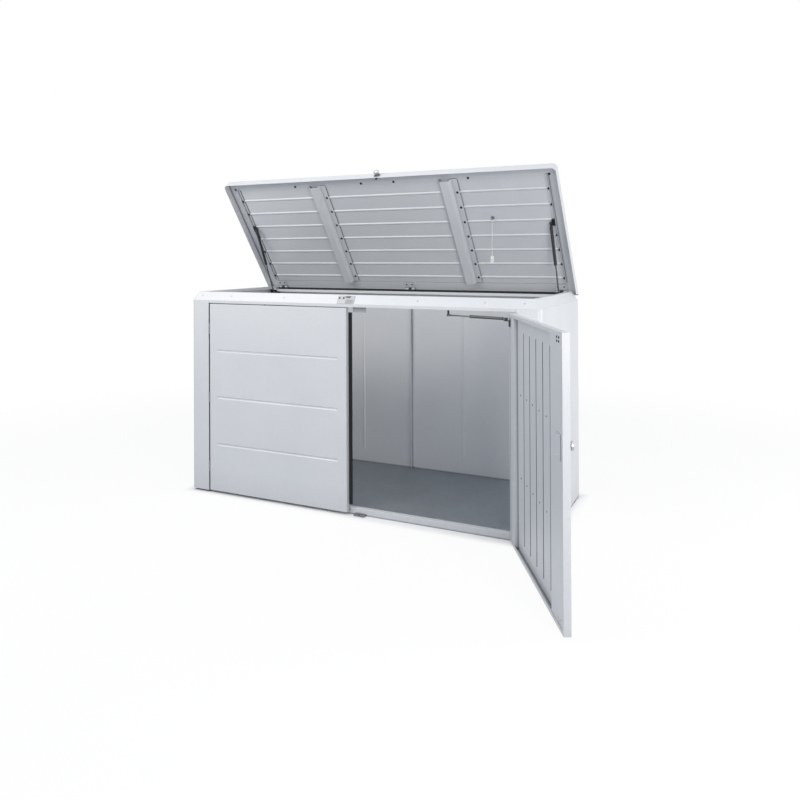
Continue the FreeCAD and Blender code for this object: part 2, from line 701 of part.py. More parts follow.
def door_liner():
    """Inner sheet of the door: flat stiles tucked behind the folded-in edge and, between them, a
    recessed panel with upright beads."""
    gap = SHEET + LINER_CLEARANCE
    stile = DOOR_BACK - 2 * SHEET
    near, far = from_hinge(HINGE_STILE), from_hinge(LOCK_STEP)
    path = [(-DOOR_EDGE + gap, stile), (near, stile), (near, LINER_PANEL), (far, LINER_PANEL), (far, stile),
            (-MEETING_EDGE - gap, stile)]
    sheet = fold_up(path, DOOR_BOTTOM + gap, DOOR_TOP - gap)
    middle = (LINER_BEAD_BOTTOM + LINER_BEAD_TOP) / 2
    length = LINER_BEAD_TOP - LINER_BEAD_BOTTOM
    first = HINGE_STILE + LINER_BEAD_LEAD
    pitch = (LOCK_STEP - LINER_BEAD_TAIL - first) / (LINER_BEADS - 1)
    for i in range(LINER_BEADS):
        x = from_hinge(first + pitch * i)
        ridge = bead(V(x, LINER_PANEL, middle), V(0, 0, 1), V(1, 0, 0), V(0, -1, 0),
                     length, LINER_BEAD_WIDTH, BEAD_DEPTH, SHEET)
        groove = bead(V(x, LINER_PANEL + SHEET, middle), V(0, 0, 1), V(1, 0, 0), V(0, -1, 0),
                      length, LINER_BEAD_WIDTH, BEAD_DEPTH)
        sheet = sheet.fuse(ridge).cut(groove)
    return sheet


def door_stiffener(level):
    """Flat bar on the skin that the liner's beads rest on."""
    front = FRONT + SHEET
    rear = front + BEAD_DEPTH + LINER_CLEARANCE - FIT
    half = STIFFENER_WIDTH / 2
    return box(from_hinge(HINGE_STILE + STIFFENER_MARGIN), from_hinge(LOCK_STEP - STIFFENER_MARGIN),
               front, rear, level - half, level + half)


def door_seal():
    """Rubber strip on the left door's meeting edge, behind the right door."""
    base = box(-MEETING_EDGE - SEAL_STRIP_LAP, -MEETING_EDGE, DOOR_BACK, DOOR_BACK + SEAL_STRIP_THICK,
               SEAL_STRIP_BOTTOM, SEAL_STRIP_TOP)
    lip = box(-MEETING_EDGE, MEETING_EDGE + SEAL_STRIP_LAP - SEAL_STRIP_THICK, DOOR_BACK + SHEET / 2,
              DOOR_BACK + SEAL_STRIP_THICK, SEAL_STRIP_BOTTOM, SEAL_STRIP_TOP)
    return fuse_all([base, lip])


def stay_bracket():
    """Bracket at the top of the hinge edge that carries the stay's pin."""
    x = from_hinge(STAY_DOOR_BACK)
    y = FRONT + STAY_DOOR_DEEP
    top = STAY_LEVEL - STAY_EYE_HEIGHT / 2
    half = STAY_EYE_RADIUS
    left = -DOOR_EDGE + SHEET
    foot = box(left, left + 3 * half, DOOR_BACK, DOOR_BACK + BRACKET_THICK,
               top - 4 * half, top - BRACKET_THICK)
    arm = box(left, x + half, DOOR_BACK, y + half, top - 2 * BRACKET_THICK, top - BRACKET_THICK)
    stud = pin(V(x, y, top - BRACKET_THICK), V(x, y, STAY_LEVEL + STAY_EYE_HEIGHT / 2), STAY_PIN_RADIUS)
    collar = pin(V(x, y, top - BRACKET_THICK), V(x, y, top - FIT), STAY_EYE_RADIUS - BRACKET_THICK)
    return fuse_all([foot, arm, collar, stud])


# Right door's lock

def right_skin(skin):
    """The right tray with the passages of its lock."""
    x = LOCK_LINE
    spindle = pin(V(x, FRONT - SHEET, KNOB_LEVEL), V(x, FRONT + 3 * SHEET, KNOB_LEVEL), SPINDLE_RADIUS + FIT)
    top = bolt_slot(DOOR_TOP - 2 * SHEET, DOOR_TOP + SHEET, BOLT_CLEARANCE)
    bottom = bolt_slot(DOOR_BOTTOM - SHEET, DOOR_BOTTOM + 2 * SHEET, BOLT_CLEARANCE)
    return cut_all(skin, [spindle, top, bottom])


def lock_plate():
    """Thin cover plate inside the door, on the stile over the lock."""
    x = LOCK_LINE
    face = DOOR_BACK - SHEET
    plate = box(x - LOCK_PLATE_WIDTH / 2, x + LOCK_PLATE_WIDTH / 2, face, face + LOCK_PLATE_THICK,
                KNOB_LEVEL - LOCK_PLATE_HEIGHT / 2, KNOB_LEVEL + LOCK_PLATE_HEIGHT / 2)
    upright = [e for e in plate.Edges if e.BoundBox.YLength > LOCK_PLATE_THICK / 2]
    return plate.makeFillet(LOCK_PLATE_CORNER, upright)


def lock_rose():
    x = LOCK_LINE
    rose = Part.makeCone(ROSE_RADIUS, ROSE_RADIUS - ROSE_THICK / 2, ROSE_THICK,
                         V(x, FRONT, KNOB_LEVEL), V(0, -1, 0))
    bore = pin(V(x, FRONT + SHEET, KNOB_LEVEL), V(x, FRONT - 2 * ROSE_THICK, KNOB_LEVEL),
               SPINDLE_RADIUS + FIT)
    return rose.cut(bore)


def knob(centre, radius, length, spindle_length):
    """Turned knob with a waist, on its spindle, standing out of the front."""
    seat = ROSE_THICK + KNUCKLE_GAP
    waist, shoulder, crown = [seat + length * share for share in (KNOB_WAIST, KNOB_SHOULDER, KNOB_CROWN)]

    def at(r, h):
        return centre.add(V(0, -h, r))
    top = seat + length
    dome = (radius ** 2 + (top - crown) ** 2) / (2 * (top - crown))
    half = math.asin(radius / dome) / 2
    profile = [Part.makePolygon([at(0, top), at(0, seat), at(KNOB_NECK_RADIUS, seat),
                                 at(KNOB_NECK_RADIUS, waist), at(radius, shoulder), at(radius, crown)]),
               Part.Arc(at(radius, crown), at(dome * math.sin(half), top - dome * (1 - math.cos(half))),
                        at(0, top)).toShape()]
    turned = Part.Face(Part.Wire(profile)).revolve(centre, V(0, -1, 0), 360)
    spindle = pin(centre.add(V(0, spindle_length, 0)), at(0, waist), SPINDLE_RADIUS)
    return fuse_all([turned, spindle])


def door_knob():
    """Knob, spindle and the disc inside the door that drives the two bolts."""
    centre = V(LOCK_LINE, FRONT, KNOB_LEVEL)
    start = centre.add(V(0, DOOR_THICK / 2, 0))
    disc = pin(start, start.add(V(0, BOLT_THICK, 0)), LOCK_CAM_RADIUS)
    return fuse_all([knob(centre, KNOB_RADIUS, KNOB_LENGTH, DOOR_THICK / 2), disc])


def door_bolt(upper):
    """Flat bolt inside the door, flush with the edge while it is drawn back."""
    x = LOCK_LINE
    y = FRONT + BOLT_DEPTH
    near = LOCK_CAM_RADIUS + BOLT_THICK
    z0, z1 = (KNOB_LEVEL + near, DOOR_TOP) if upper else (DOOR_BOTTOM, KNOB_LEVEL - near)
    return box(x - BOLT_WIDTH / 2, x + BOLT_WIDTH / 2, y - BOLT_THICK / 2, y + BOLT_THICK / 2, z0, z1)


def bolt_guide(level):
    """Block behind the stile that a bolt slides through."""
    half, tall = GUIDE_WIDTH / 2, GUIDE_HEIGHT / 2
    block = box(LOCK_LINE - half, LOCK_LINE + half, FRONT + BOLT_DEPTH - BOLT_THICK, DOOR_BACK - 2 * SHEET,
                level - tall, level + tall)
    return block.cut(bolt_slot(level - GUIDE_HEIGHT, level + GUIDE_HEIGHT, BOLT_CLEARANCE))


def bolt_keeper():
    """Plate on the sill under the doors with the hole for the lower bolt."""
    x = LOCK_LINE
    plate = box(x - KEEPER_WIDTH / 2, x + KEEPER_WIDTH / 2, FRONT + BOLT_THICK, SILL_FACE,
                KEEPER_LEVEL, KEEPER_LEVEL + KEEPER_THICK)
    return plate.cut(bolt_slot(0, 2 * DOOR_BOTTOM, 4 * BOLT_CLEARANCE))


# Gas springs

def spring_tube(start, head, axis, eye_radius, eye_width, pin_radius, tube_radius, length,
                bore_radius, bore_length):
    """Pressure tube with the eye at its closed end and the rod's bore at the other."""
    eye = pin(start.sub(axis * (eye_width / 2)), start.add(axis * (eye_width / 2)), eye_radius)
    hole = pin(start.sub(axis * eye_width), start.add(axis * eye_width), pin_radius + FIT)
    neck = pin(start, start.add(head * (EYE_NECK_LENGTH * eye_radius)), tube_radius * EYE_NECK_SHARE)
    tube = pin(start.add(head * (2 * eye_radius)), start.add(head * length), tube_radius)
    bore = pin(start.add(head * (length - bore_length)), start.add(head * (length + eye_width)), bore_radius)
    return fuse_all([eye, neck, tube]).cut(Part.Compound([hole, bore]))


def spring_rod(end, head, axis, eye_radius, eye_width, rod_radius, length):
    """Piston rod with its socket."""
    eye = pin(end.sub(axis * (eye_width / 2)), end.add(axis * (eye_width / 2)), eye_radius)
    rod = pin(end.sub(head * length), end, rod_radius)
    neck = pin(end.sub(head * (ROD_NECK_LENGTH * eye_radius)), end, rod_radius * ROD_NECK_SHARE)
    return fuse_all([eye, neck, rod])


def turned_point(point, centre, axis, angle):
    """A point turned about an axis."""
    return centre.add(FreeCAD.Rotation(axis, angle).multVec(point.sub(centre)))


def strut_ends():
    """Lid pivot in the open pose and wall pivot of the left strut."""
    shut = V(-STRUT_X, STRUT_LID_Y, STRUT_LID_Z)
    return turned_point(shut, LID_AXIS, V(-1, 0, 0), LID_OPEN), V(-STRUT_X, STRUT_WALL_Y, STRUT_WALL_Z)


def strut_tube():
    top, low = strut_ends()
    head = low.sub(top).normalize()
    return spring_tube(top, head, V(1, 0, 0), STRUT_EYE_RADIUS, STRUT_EYE_WIDTH, STRUT_PIN_RADIUS,
                       STRUT_TUBE_RADIUS, STRUT_TUBE_LENGTH, STRUT_ROD_RADIUS + FIT, STRUT_BORE_LENGTH)


def strut_rod():
    top, low = strut_ends()
    head = low.sub(top)
    length = head.Length - STRUT_TUBE_LENGTH + STRUT_ROD_OVERLAP
    return spring_rod(low, head.normalize(), V(1, 0, 0), STRUT_EYE_RADIUS, STRUT_EYE_WIDTH,
                      STRUT_ROD_RADIUS, length)


def strut_wall_stud():
    """Plate on the left wall with the stud that the rod's socket sits on."""
    tip = -STRUT_X - STRUT_EYE_WIDTH / 2 - OPEN_PIVOT_GAP
    half = STRUT_PLATE / 2
    plate = box(-INNER_SIDE, -INNER_SIDE + BRACKET_THICK, STRUT_WALL_Y - half, STRUT_WALL_Y + half,
                STRUT_WALL_Z - half, STRUT_WALL_Z + half - STRUT_EYE_RADIUS)
    cone = Part.makeCone(STRUT_STUD_FOOT_RADIUS, STRUT_STUD_TIP_RADIUS, INNER_SIDE - BRACKET_THICK + tip,
                         V(-INNER_SIDE + BRACKET_THICK, STRUT_WALL_Y, STRUT_WALL_Z), V(1, 0, 0))
    return fuse_all([plate, cone])


def strut_lid_bracket():
    """Angle under the lid's left side rail with the pin for the strut's eye."""
    under = RIDGE_UNDER - SHEET
    web_x = -STRUT_X - STRUT_EYE_WIDTH / 2 - STRUT_EYE_GAP
    outer = -SIDE + RIM_INNER + LID_SIDE_RAIL_GAP + 2 * SHEET
    foot = box(outer, web_x, STRUT_LID_Y - STRUT_FOOT / 2, STRUT_LID_Y + STRUT_FOOT / 2,
               under - BRACKET_THICK, under)
    web = box(web_x - BRACKET_THICK, web_x, STRUT_LID_Y - STRUT_EYE_RADIUS, STRUT_LID_Y + STRUT_EYE_RADIUS,
              STRUT_LID_Z - STRUT_EYE_RADIUS, under)
    bar = pin(V(web_x - BRACKET_THICK, STRUT_LID_Y, STRUT_LID_Z),
              V(-STRUT_X + STRUT_EYE_WIDTH / 2 + STRUT_PIN_PROUD, STRUT_LID_Y, STRUT_LID_Z), STRUT_PIN_RADIUS)
    return fuse_all([foot, web, bar])


def stay_ends(angle):
    """Door pivot and rail pivot of the left stay with the door turned open by an angle."""
    shut = V(from_hinge(STAY_DOOR_BACK), FRONT + STAY_DOOR_DEEP, STAY_LEVEL)
    axis = V(-AXIS_X, FRONT, STAY_LEVEL)
    return turned_point(shut, axis, V(0, 0, -1), angle), V(-STAY_RAIL_X, FRONT + STAY_RAIL_DEEP, STAY_LEVEL)


def stay_tube(angle):
    door, rail = stay_ends(angle)
    head = rail.sub(door).normalize()
    return spring_tube(door, head, V(0, 0, 1), STAY_EYE_RADIUS, STAY_EYE_HEIGHT, STAY_PIN_RADIUS,
                       STAY_TUBE_RADIUS, STAY_TUBE_LENGTH, STAY_ROD_RADIUS + FIT, STAY_BORE_LENGTH)


def stay_rod(angle):
    door, rail = stay_ends(angle)
    longest = max(rail.sub(stay_ends(a)[0]).Length for a in (0, DOOR_OPEN))
    head = rail.sub(door).normalize()
    length = longest - STAY_TUBE_LENGTH + STAY_ROD_OVERLAP
    return spring_rod(rail, head, V(0, 0, 1), STAY_EYE_RADIUS, STAY_EYE_HEIGHT, STAY_ROD_RADIUS, length)


def stay_rail_stud():
    """Plate under the lintel with the stud above the stay's socket."""
    y = FRONT + STAY_RAIL_DEEP
    half = STAY_EYE_RADIUS
    plate = box(-STAY_RAIL_X - 2 * half, -STAY_RAIL_X + 2 * half, y - half, y + half,
                LINTEL_BOTTOM - BRACKET_THICK, LINTEL_BOTTOM)
    stud = pin(V(-STAY_RAIL_X, y, STAY_LEVEL + STAY_EYE_HEIGHT / 2 + OPEN_PIVOT_GAP),
               V(-STAY_RAIL_X, y, LINTEL_BOTTOM - BRACKET_THICK), STAY_STUD_RADIUS)
    return fuse_all([plate, stud])


# Lid, drawn shut

def rounded_plan(inset, z):
    """Plan outline of the lid with round front corners."""
    side, front, back = SIDE - inset, FRONT + inset, BACK - inset
    radius = LID_CORNER_RADIUS - inset
    diagonal = radius * (1 - math.sqrt(0.5))
    edges = [Part.LineSegment(V(-side + radius, front, z), V(side - radius, front, z)).toShape(),
             Part.Arc(V(side - radius, front, z), V(side - diagonal, front + diagonal, z),
                      V(side, front + radius, z)).toShape(),
             Part.LineSegment(V(side, front + radius, z), V(side, back, z)).toShape(),
             Part.LineSegment(V(side, back, z), V(-side, back, z)).toShape(),
             Part.LineSegment(V(-side, back, z), V(-side, front + radius, z)).toShape(),
             Part.Arc(V(-side, front + radius, z), V(-side + diagonal, front + diagonal, z),
                      V(-side + radius, front, z)).toShape()]
    return Part.Face(Part.Wire(edges))


def lid_skin():
    """Lid tray: beaded top, deep skirt in front and at the sides, short hem at the back."""
    outer = rounded_plan(0, LID_LIP).extrude(V(0, 0, LID_TOP - LID_LIP))
    top_edges = [e for e in outer.Edges if e.BoundBox.ZMin > LID_TOP - SHEET]
    outer = outer.makeFillet(LID_EDGE_RADIUS, top_edges)
    inner = rounded_plan(SHEET, LID_LIP - SHEET).extrude(V(0, 0, LID_UNDER - LID_LIP + SHEET))
    length = WIDTH - 2 * LID_BEAD_END
    grooves, ridges = [], []
    for y in LID_BEAD_PLACES:
        grooves.append(bead(V(0, y, LID_TOP), V(1, 0, 0), V(0, 1, 0), V(0, 0, -1),
                            length, BEAD_WIDTH, LID_BEAD_DEPTH))
        ridges.append(bead(V(0, y, LID_UNDER), V(1, 0, 0), V(0, 1, 0), V(0, 0, -1),
                           length, BEAD_WIDTH, LID_BEAD_DEPTH, SHEET))
    hem = LID_TOP - LID_HEM
    rear = prism([V(-WIDTH, LID_CUT_START, LID_LIP - SHEET), V(-WIDTH, LID_CUT_START, LID_LIP),
                  V(-WIDTH, LID_CUT_START + LID_CUT_RISE, hem), V(-WIDTH, BACK + SHEET, hem),
                  V(-WIDTH, BACK + SHEET, LID_LIP - SHEET)], V(2 * WIDTH, 0, 0))
    spindle = pin(V(LOCK_X, FRONT - SHEET, LID_KNOB_LEVEL), V(LOCK_X, FRONT + 3 * SHEET, LID_KNOB_LEVEL),
                  SPINDLE_RADIUS + FIT)
    return cut_all(cut_all(outer, grooves).cut(cut_all(inner, ridges)), [rear, spindle])


def lid_front_rail():
    """Angle behind the front skirt."""
    face = FRONT + SHEET
    path = [(face + LID_FRONT_LEG, LID_UNDER), (face, LID_UNDER), (face, LID_UNDER - LID_SKIRT_LEG)]
    rail = fold_across(path, -SIDE + LID_CORNER_RADIUS, SIDE - LID_CORNER_RADIUS)
    passage = pin(V(LOCK_X, face - SHEET, LID_KNOB_LEVEL), V(LOCK_X, face + 3 * SHEET, LID_KNOB_LEVEL),
                  LID_ROSE_RADIUS)
    return rail.cut(passage)


def lid_rear_rail():
    """Flat bar under the lid's rear edge that the hinges are screwed to."""
    inside = SIDE - RIM_INNER - LID_SIDE_RAIL_GAP
    return box(-inside, inside, LID_REAR_RAIL_FRONT, LID_REAR_RAIL_BACK,
               LID_UNDER - LID_REAR_RAIL_THICK, LID_UNDER)


def lid_side_rail():
    """Angle along the lid's left side, seated on the beads."""
    x = -SIDE + RIM_INNER + LID_SIDE_RAIL_GAP
    path = [(x + LID_SIDE_RAIL_FLANGE, RIDGE_UNDER), (x, RIDGE_UNDER), (x, RIDGE_UNDER - LID_SIDE_RAIL_LIP)]
    return fold_back(path, LID_STIFFENER_FRONT, LID_STIFFENER_REAR)


def lid_stiffener(x):
    """Hat channel across the beads, with its wide screwed foot on one side only."""
    crown, foot = LID_STIFFENER_CROWN / 2, LID_STIFFENER_FOOT / 2
    top = RIDGE_UNDER
    low = top - LID_STIFFENER_DEPTH
    path = [(x + foot + LID_STIFFENER_FLANGE, top), (x + foot, top), (x + crown, low), (x - crown, low),
            (x - foot, top), (x - foot - LID_STIFFENER_LIP, top)]
    return fold_back(path, LID_STIFFENER_FRONT, LID_STIFFENER_REAR)


def lid_knuckle(x0, x1, web):
    """Barrel stretch of a lid hinge with its web."""
    barrel = pin(V(x0, LID_AXIS_Y, LID_AXIS_Z), V(x1, LID_AXIS_Y, LID_AXIS_Z), LID_BARREL_RADIUS)
    bore = pin(V(x0, LID_AXIS_Y, LID_AXIS_Z), V(x1, LID_AXIS_Y, LID_AXIS_Z), LID_PIN_RADIUS + FIT)
    plate = prism([V(x0, y, z) for y, z in web], V(x1 - x0, 0, 0))
    return barrel.fuse(plate).cut(bore)


def lid_hinge_fixed(x):
    """Hinge block on the rear rim."""
    third = LID_HINGE_WIDTH / 3
    foot_back = BACK - SHEET - RIM_INSET
    foot_front = foot_back - LID_BARREL_RADIUS
    reach = LID_WEB_REACH
    web = [(foot_front, REAR_RIM_TOP), (foot_back, REAR_RIM_TOP),
           (LID_AXIS_Y + reach, LID_AXIS_Z - reach), (LID_AXIS_Y - reach, LID_AXIS_Z + reach)]
    return lid_knuckle(x - third / 2, x + third / 2, web)


def lid_hinge_moving(x):
    """Lid leaf with its two knuckles."""
    near = LID_HINGE_WIDTH / 6 + KNUCKLE_GAP
    far = LID_HINGE_WIDTH / 2
    top = LID_UNDER - LID_REAR_RAIL_THICK
    low = top - LID_LEAF_THICK
    web = [(LID_AXIS_Y - LID_BARREL_RADIUS, LID_AXIS_Z), (LID_AXIS_Y + LID_BARREL_RADIUS, LID_AXIS_Z),
           (LID_AXIS_Y + LID_BARREL_RADIUS, top), (LID_AXIS_Y - LID_BARREL_RADIUS, top)]
    leaf = box(x - far, x + far, LID_LEAF_FRONT, LID_AXIS_Y, low, top)
    notch = pin(V(x - near, LID_AXIS_Y, LID_AXIS_Z), V(x + near, LID_AXIS_Y, LID_AXIS_Z),
                LID_AXIS_Y - LID_REAR_RAIL_BACK + LID_BARREL_RADIUS)
    ends = [lid_knuckle(x - far, x - near, web), lid_knuckle(x + near, x + far, web)]
    return fuse_all([leaf.cut(notch)] + ends)


def lid_hinge_pin(x):
    half = LID_HINGE_WIDTH / 2
    return pin(V(x - half, LID_AXIS_Y, LID_AXIS_Z), V(x + half, LID_AXIS_Y, LID_AXIS_Z), LID_PIN_RADIUS)


# Lid lock, drawn shut

def lid_knob():
    return knob(V(LOCK_X, FRONT, LID_KNOB_LEVEL), LID_KNOB_RADIUS, LID_KNOB_LENGTH, CAM_INSET + CAM_THICK)


def lid_rose():
    """Rose outside the skirt and nut plate inside it."""
    rose = Part.makeCone(LID_ROSE_RADIUS, LID_ROSE_RADIUS - ROSE_THICK / 2, ROSE_THICK,
                         V(LOCK_X, FRONT, LID_KNOB_LEVEL), V(0, -1, 0))
    face = FRONT + SHEET
    nut = pin(V(LOCK_X, face, LID_KNOB_LEVEL), V(LOCK_X, FRONT + CAM_INSET - KNUCKLE_GAP, LID_KNOB_LEVEL),
              2 * SPINDLE_RADIUS)
    bore = pin(V(LOCK_X, FRONT - 2 * ROSE_THICK, LID_KNOB_LEVEL),
               V(LOCK_X, FRONT + 2 * CAM_INSET, LID_KNOB_LEVEL), SPINDLE_RADIUS + FIT)
    return [rose.cut(bore), nut.cut(bore)]


def lid_cam():
    """Flat cam on the spindle: it hangs down while unlocked and turns under the strike's nose."""
    y0 = FRONT + CAM_INSET
    half = CAM_WIDTH / 2
    hub = pin(V(LOCK_X, y0, LID_KNOB_LEVEL), V(LOCK_X, y0 + CAM_THICK, LID_KNOB_LEVEL), CAM_HUB_RADIUS)
    low = LID_KNOB_LEVEL - CAM_LENGTH + half
    arm = box(LOCK_X - half, LOCK_X + half, y0, y0 + CAM_THICK, low, LID_KNOB_LEVEL)
    tip = pin(V(LOCK_X, y0, low), V(LOCK_X, y0 + CAM_THICK, low), half)
    bore = pin(V(LOCK_X, y0 - SHEET, LID_KNOB_LEVEL), V(LOCK_X, y0 + 2 * CAM_THICK, LID_KNOB_LEVEL),
               SPINDLE_RADIUS)
    return fuse_all([hub, arm, tip]).cut(bore)


# Lifting cord, hanging from the open lid

def cord_pivot():
    """Middle of the eye under the open lid."""
    return turned_point(V(CORD_X, CORD_Y, LID_UNDER - CORD_DROP), LID_AXIS, V(-1, 0, 0), LID_OPEN)


def cord_eye():
    """Eye plate under the lid, drawn shut."""
    middle = V(CORD_X, CORD_Y, LID_UNDER - CORD_DROP)
    seat = V(CORD_X, CORD_Y, LID_UNDER)
    ring = Part.makeTorus(CORD_EYE_RADIUS, CORD_EYE_WIRE, middle, V(1, 0, 0))
    stem = pin(middle.add(V(0, 0, CORD_EYE_RADIUS)), seat, CORD_EYE_WIRE)
    plate = pin(seat.sub(V(0, 0, SHEET)), seat, 2 * CORD_EYE_RADIUS)
    return fuse_all([ring, stem, plate])


def cord_start():
    """Upper end of the cord, at the bottom of the eye."""
    return cord_pivot().sub(V(0, 0, CORD_EYE_RADIUS + CORD_EYE_WIRE + CORD_EYE_GAP))


def lifting_cord():
    top = cord_start()
    return pin(top, top.sub(V(0, 0, CORD_LENGTH)), CORD_RADIUS)


def cord_clip():
    """Flat spring clip on the cord's lower end."""
    end = cord_start().sub(V(0, 0, CORD_LENGTH))
    half, thick = CLIP_WIDTH / 2, CLIP_THICK / 2
    body = box(end.x - half, end.x + half, end.y - thick, end.y + thick, end.z - CLIP_LENGTH, end.z)
    upright = [e for e in body.Edges if e.BoundBox.YLength > thick]
    body = body.makeFillet(CLIP_CORNER, upright)
    level = end.z - CLIP_HOLE_DROP
    jaw = pin(V(end.x, end.y - CLIP_THICK, level), V(end.x, end.y + CLIP_THICK, level), CLIP_HOLE_RADIUS)
    return body.cut(jaw)


# Assembly: pose each moving group and write one file for each node

def open_lid(shape):
    shape.rotate(LID_AXIS, V(-1, 0, 0), LID_OPEN)
    return shape


def open_right_door(shape):
    shape.rotate(V(AXIS_X, FRONT, 0), V(0, 0, 1), DOOR_OPEN)
    return shape


def both(make):
    """A piece and its mirror image as one group."""
    shape = make()
    return group([shape, mirrored(shape)])


def cabinet_parts():
    parts = {}
    wall, back, ring = side_wall(), rear_wall(), rim_ring()
    side_rim = ring.common(mitre_wedge(False))
    for side, place in (("left", lambda s: s), ("right", mirrored)):
        parts[side + "_side_wall"] = place(wall)
        parts["rear_wall_" + side] = place(back)
        parts[side + "_rim"] = place(side_rim)
    parts["post_liners"] = both(post_liner)
    parts["front_sill"] = front_sill()
    parts["base_rails"] = group([side_base_rail(), mirrored(side_base_rail()), rear_base_rail()])
    parts["floor_supports"] = group([floor_support(x) for x in (-SUPPORT_SPACING, 0, SUPPORT_SPACING)])
    parts["floor_panel"] = floor_panel()
    parts["front_rim"] = front_rim(ring)
    parts["front_lintel"] = front_lintel()
    parts["door_stop"] = door_stop()
    parts["rear_rim"] = rear_rim()
    parts["rear_seal"] = rear_seal()
    parts["lid_strike"] = lid_strike()
    fixed = [hinge_fixed(z) for z in HINGE_LEVELS]
    pins = [hinge_pin(z) for z in HINGE_LEVELS]
    parts["door_hinge_leaves"] = group(fixed + [mirrored(s) for s in fixed])
    parts["hinge_pins"] = group(pins + [mirrored(s) for s in pins] + [lid_hinge_pin(x) for x in LID_HINGES])
    parts["lid_hinge_blocks"] = group([lid_hinge_fixed(x) for x in LID_HINGES])
    parts["strut_wall_studs"] = both(strut_wall_stud)
    parts["stay_studs"] = both(stay_rail_stud)
    parts["bolt_keeper"] = bolt_keeper()
    return parts


def door_parts():
    parts = {}
    ribs = group([door_stiffener(z) for z in STIFFENER_LEVELS])
    leaves = group([leaf for z in HINGE_LEVELS for leaf in hinge_moving(z)])
    for name, shape in (("skin", door_skin()), ("liner", door_liner()), ("stiffeners", ribs),
                        ("hinge_leaves", leaves), ("stay_bracket", stay_bracket())):
        parts["left_door_" + name] = shape
        other = mirrored(shape)
        parts["right_door_" + name] = open_right_door(right_skin(other) if name == "skin" else other)
    parts["left_door_seal"] = door_seal()
    guides = [bolt_guide(DOOR_BOTTOM + GUIDE_INSET), bolt_guide(DOOR_TOP - GUIDE_INSET)]
    parts["door_lock_case"] = open_right_door(group([lock_plate(), lock_rose()] + guides))
    parts["door_knob"] = open_right_door(door_knob())
    parts["door_top_bolt"] = open_right_door(door_bolt(True))
    parts["door_bottom_bolt"] = open_right_door(door_bolt(False))
    parts["left_stay_tube"] = stay_tube(0)
    parts["left_stay_rod"] = stay_rod(0)
    parts["right_stay_tube"] = mirrored(stay_tube(DOOR_OPEN))
    parts["right_stay_rod"] = mirrored(stay_rod(DOOR_OPEN))
    return parts


def lid_parts():
    stiffeners = group([lid_stiffener(x) for x in (-LID_STIFFENER_X, LID_STIFFENER_X)])
    parts = {"lid_skin": lid_skin(), "lid_front_rail": lid_front_rail(), "lid_rear_rail": lid_rear_rail(),
             "lid_side_rails": both(lid_side_rail), "lid_stiffeners": stiffeners,
             "lid_hinge_leaves": group([lid_hinge_moving(x) for x in LID_HINGES]),
             "strut_lid_brackets": both(strut_lid_bracket), "lid_lock_case": group(lid_rose()),
             "cord_eye": cord_eye(), "lid_knob": lid_knob(), "lid_cam": lid_cam()}
    for shape in parts.values():
        open_lid(shape)
    tube, rod = strut_tube(), strut_rod()
    parts.update({"left_strut_tube": tube, "left_strut_rod": rod, "right_strut_tube": mirrored(tube),
                  "right_strut_rod": mirrored(rod), "lifting_cord": lifting_cord(), "cord_clip": cord_clip()})
    return parts


os.makedirs("parts", exist_ok=True)
for make in (cabinet_parts, door_parts, lid_parts):
    for node, solid in make().items():
        solid.exportStep("parts/" + node + ".step")
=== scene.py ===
import json
import math

import bpy
from mathutils import Matrix, Vector


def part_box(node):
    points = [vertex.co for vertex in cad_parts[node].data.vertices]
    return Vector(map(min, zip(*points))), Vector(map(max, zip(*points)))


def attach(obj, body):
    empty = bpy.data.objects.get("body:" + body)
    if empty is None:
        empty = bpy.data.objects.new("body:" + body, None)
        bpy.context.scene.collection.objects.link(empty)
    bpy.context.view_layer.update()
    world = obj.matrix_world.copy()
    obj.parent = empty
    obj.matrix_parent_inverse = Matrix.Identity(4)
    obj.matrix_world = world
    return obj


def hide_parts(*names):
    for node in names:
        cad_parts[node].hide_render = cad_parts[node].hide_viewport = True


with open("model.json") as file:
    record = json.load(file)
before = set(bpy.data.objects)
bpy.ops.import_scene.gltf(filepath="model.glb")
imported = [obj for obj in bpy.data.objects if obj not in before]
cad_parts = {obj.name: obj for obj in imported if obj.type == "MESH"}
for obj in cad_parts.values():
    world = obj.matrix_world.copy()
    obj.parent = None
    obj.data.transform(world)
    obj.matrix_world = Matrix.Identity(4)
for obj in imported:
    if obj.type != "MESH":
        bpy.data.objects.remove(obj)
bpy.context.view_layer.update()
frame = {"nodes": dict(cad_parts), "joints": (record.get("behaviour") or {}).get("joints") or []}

# Floor of the cabinet: one flat panel on two rails, a sill and three folded supports. The panel, rails and
# supports are hot-dip galvanised steel, left bare under the goods that stand on it; the sill is powder coated
# with the body.
# The zinc froze in large flat crystals, so its grey changes from patch to patch.
MM = 0.001


def linear(hex_colour):
    """Linear colour with alpha from an sRGB hex value."""
    parts = [int(hex_colour[i:i + 2], 16) / 255 for i in (0, 2, 4)]
    return [p / 12.92 if p <= 0.04045 else ((p + 0.055) / 1.055) ** 2.4 for p in parts] + [1.0]


def add(tree, kind, inputs=None, **settings):
    """A node with its settings, and its inputs set to values or linked to sockets."""
    made = tree.nodes.new(kind)
    for name, value in settings.items():
        setattr(made, name, value)
    for name, value in (inputs or {}).items():
        if isinstance(value, bpy.types.NodeSocket):
            tree.links.new(value, made.inputs[name])
        else:
            made.inputs[name].default_value = value
    return made


def new_finish(name, constants):
    """An empty material with its surface shader, and the Object coordinates that it reads."""
    finish = bpy.data.materials.new(name)
    finish.use_nodes = True
    tree = finish.node_tree
    tree.nodes.clear()
    surface = add(tree, "ShaderNodeBsdfPrincipled", constants)
    add(tree, "ShaderNodeOutputMaterial", {"Surface": surface.outputs["BSDF"]})
    place = add(tree, "ShaderNodeTexCoord").outputs["Object"]
    return finish, tree, surface, place


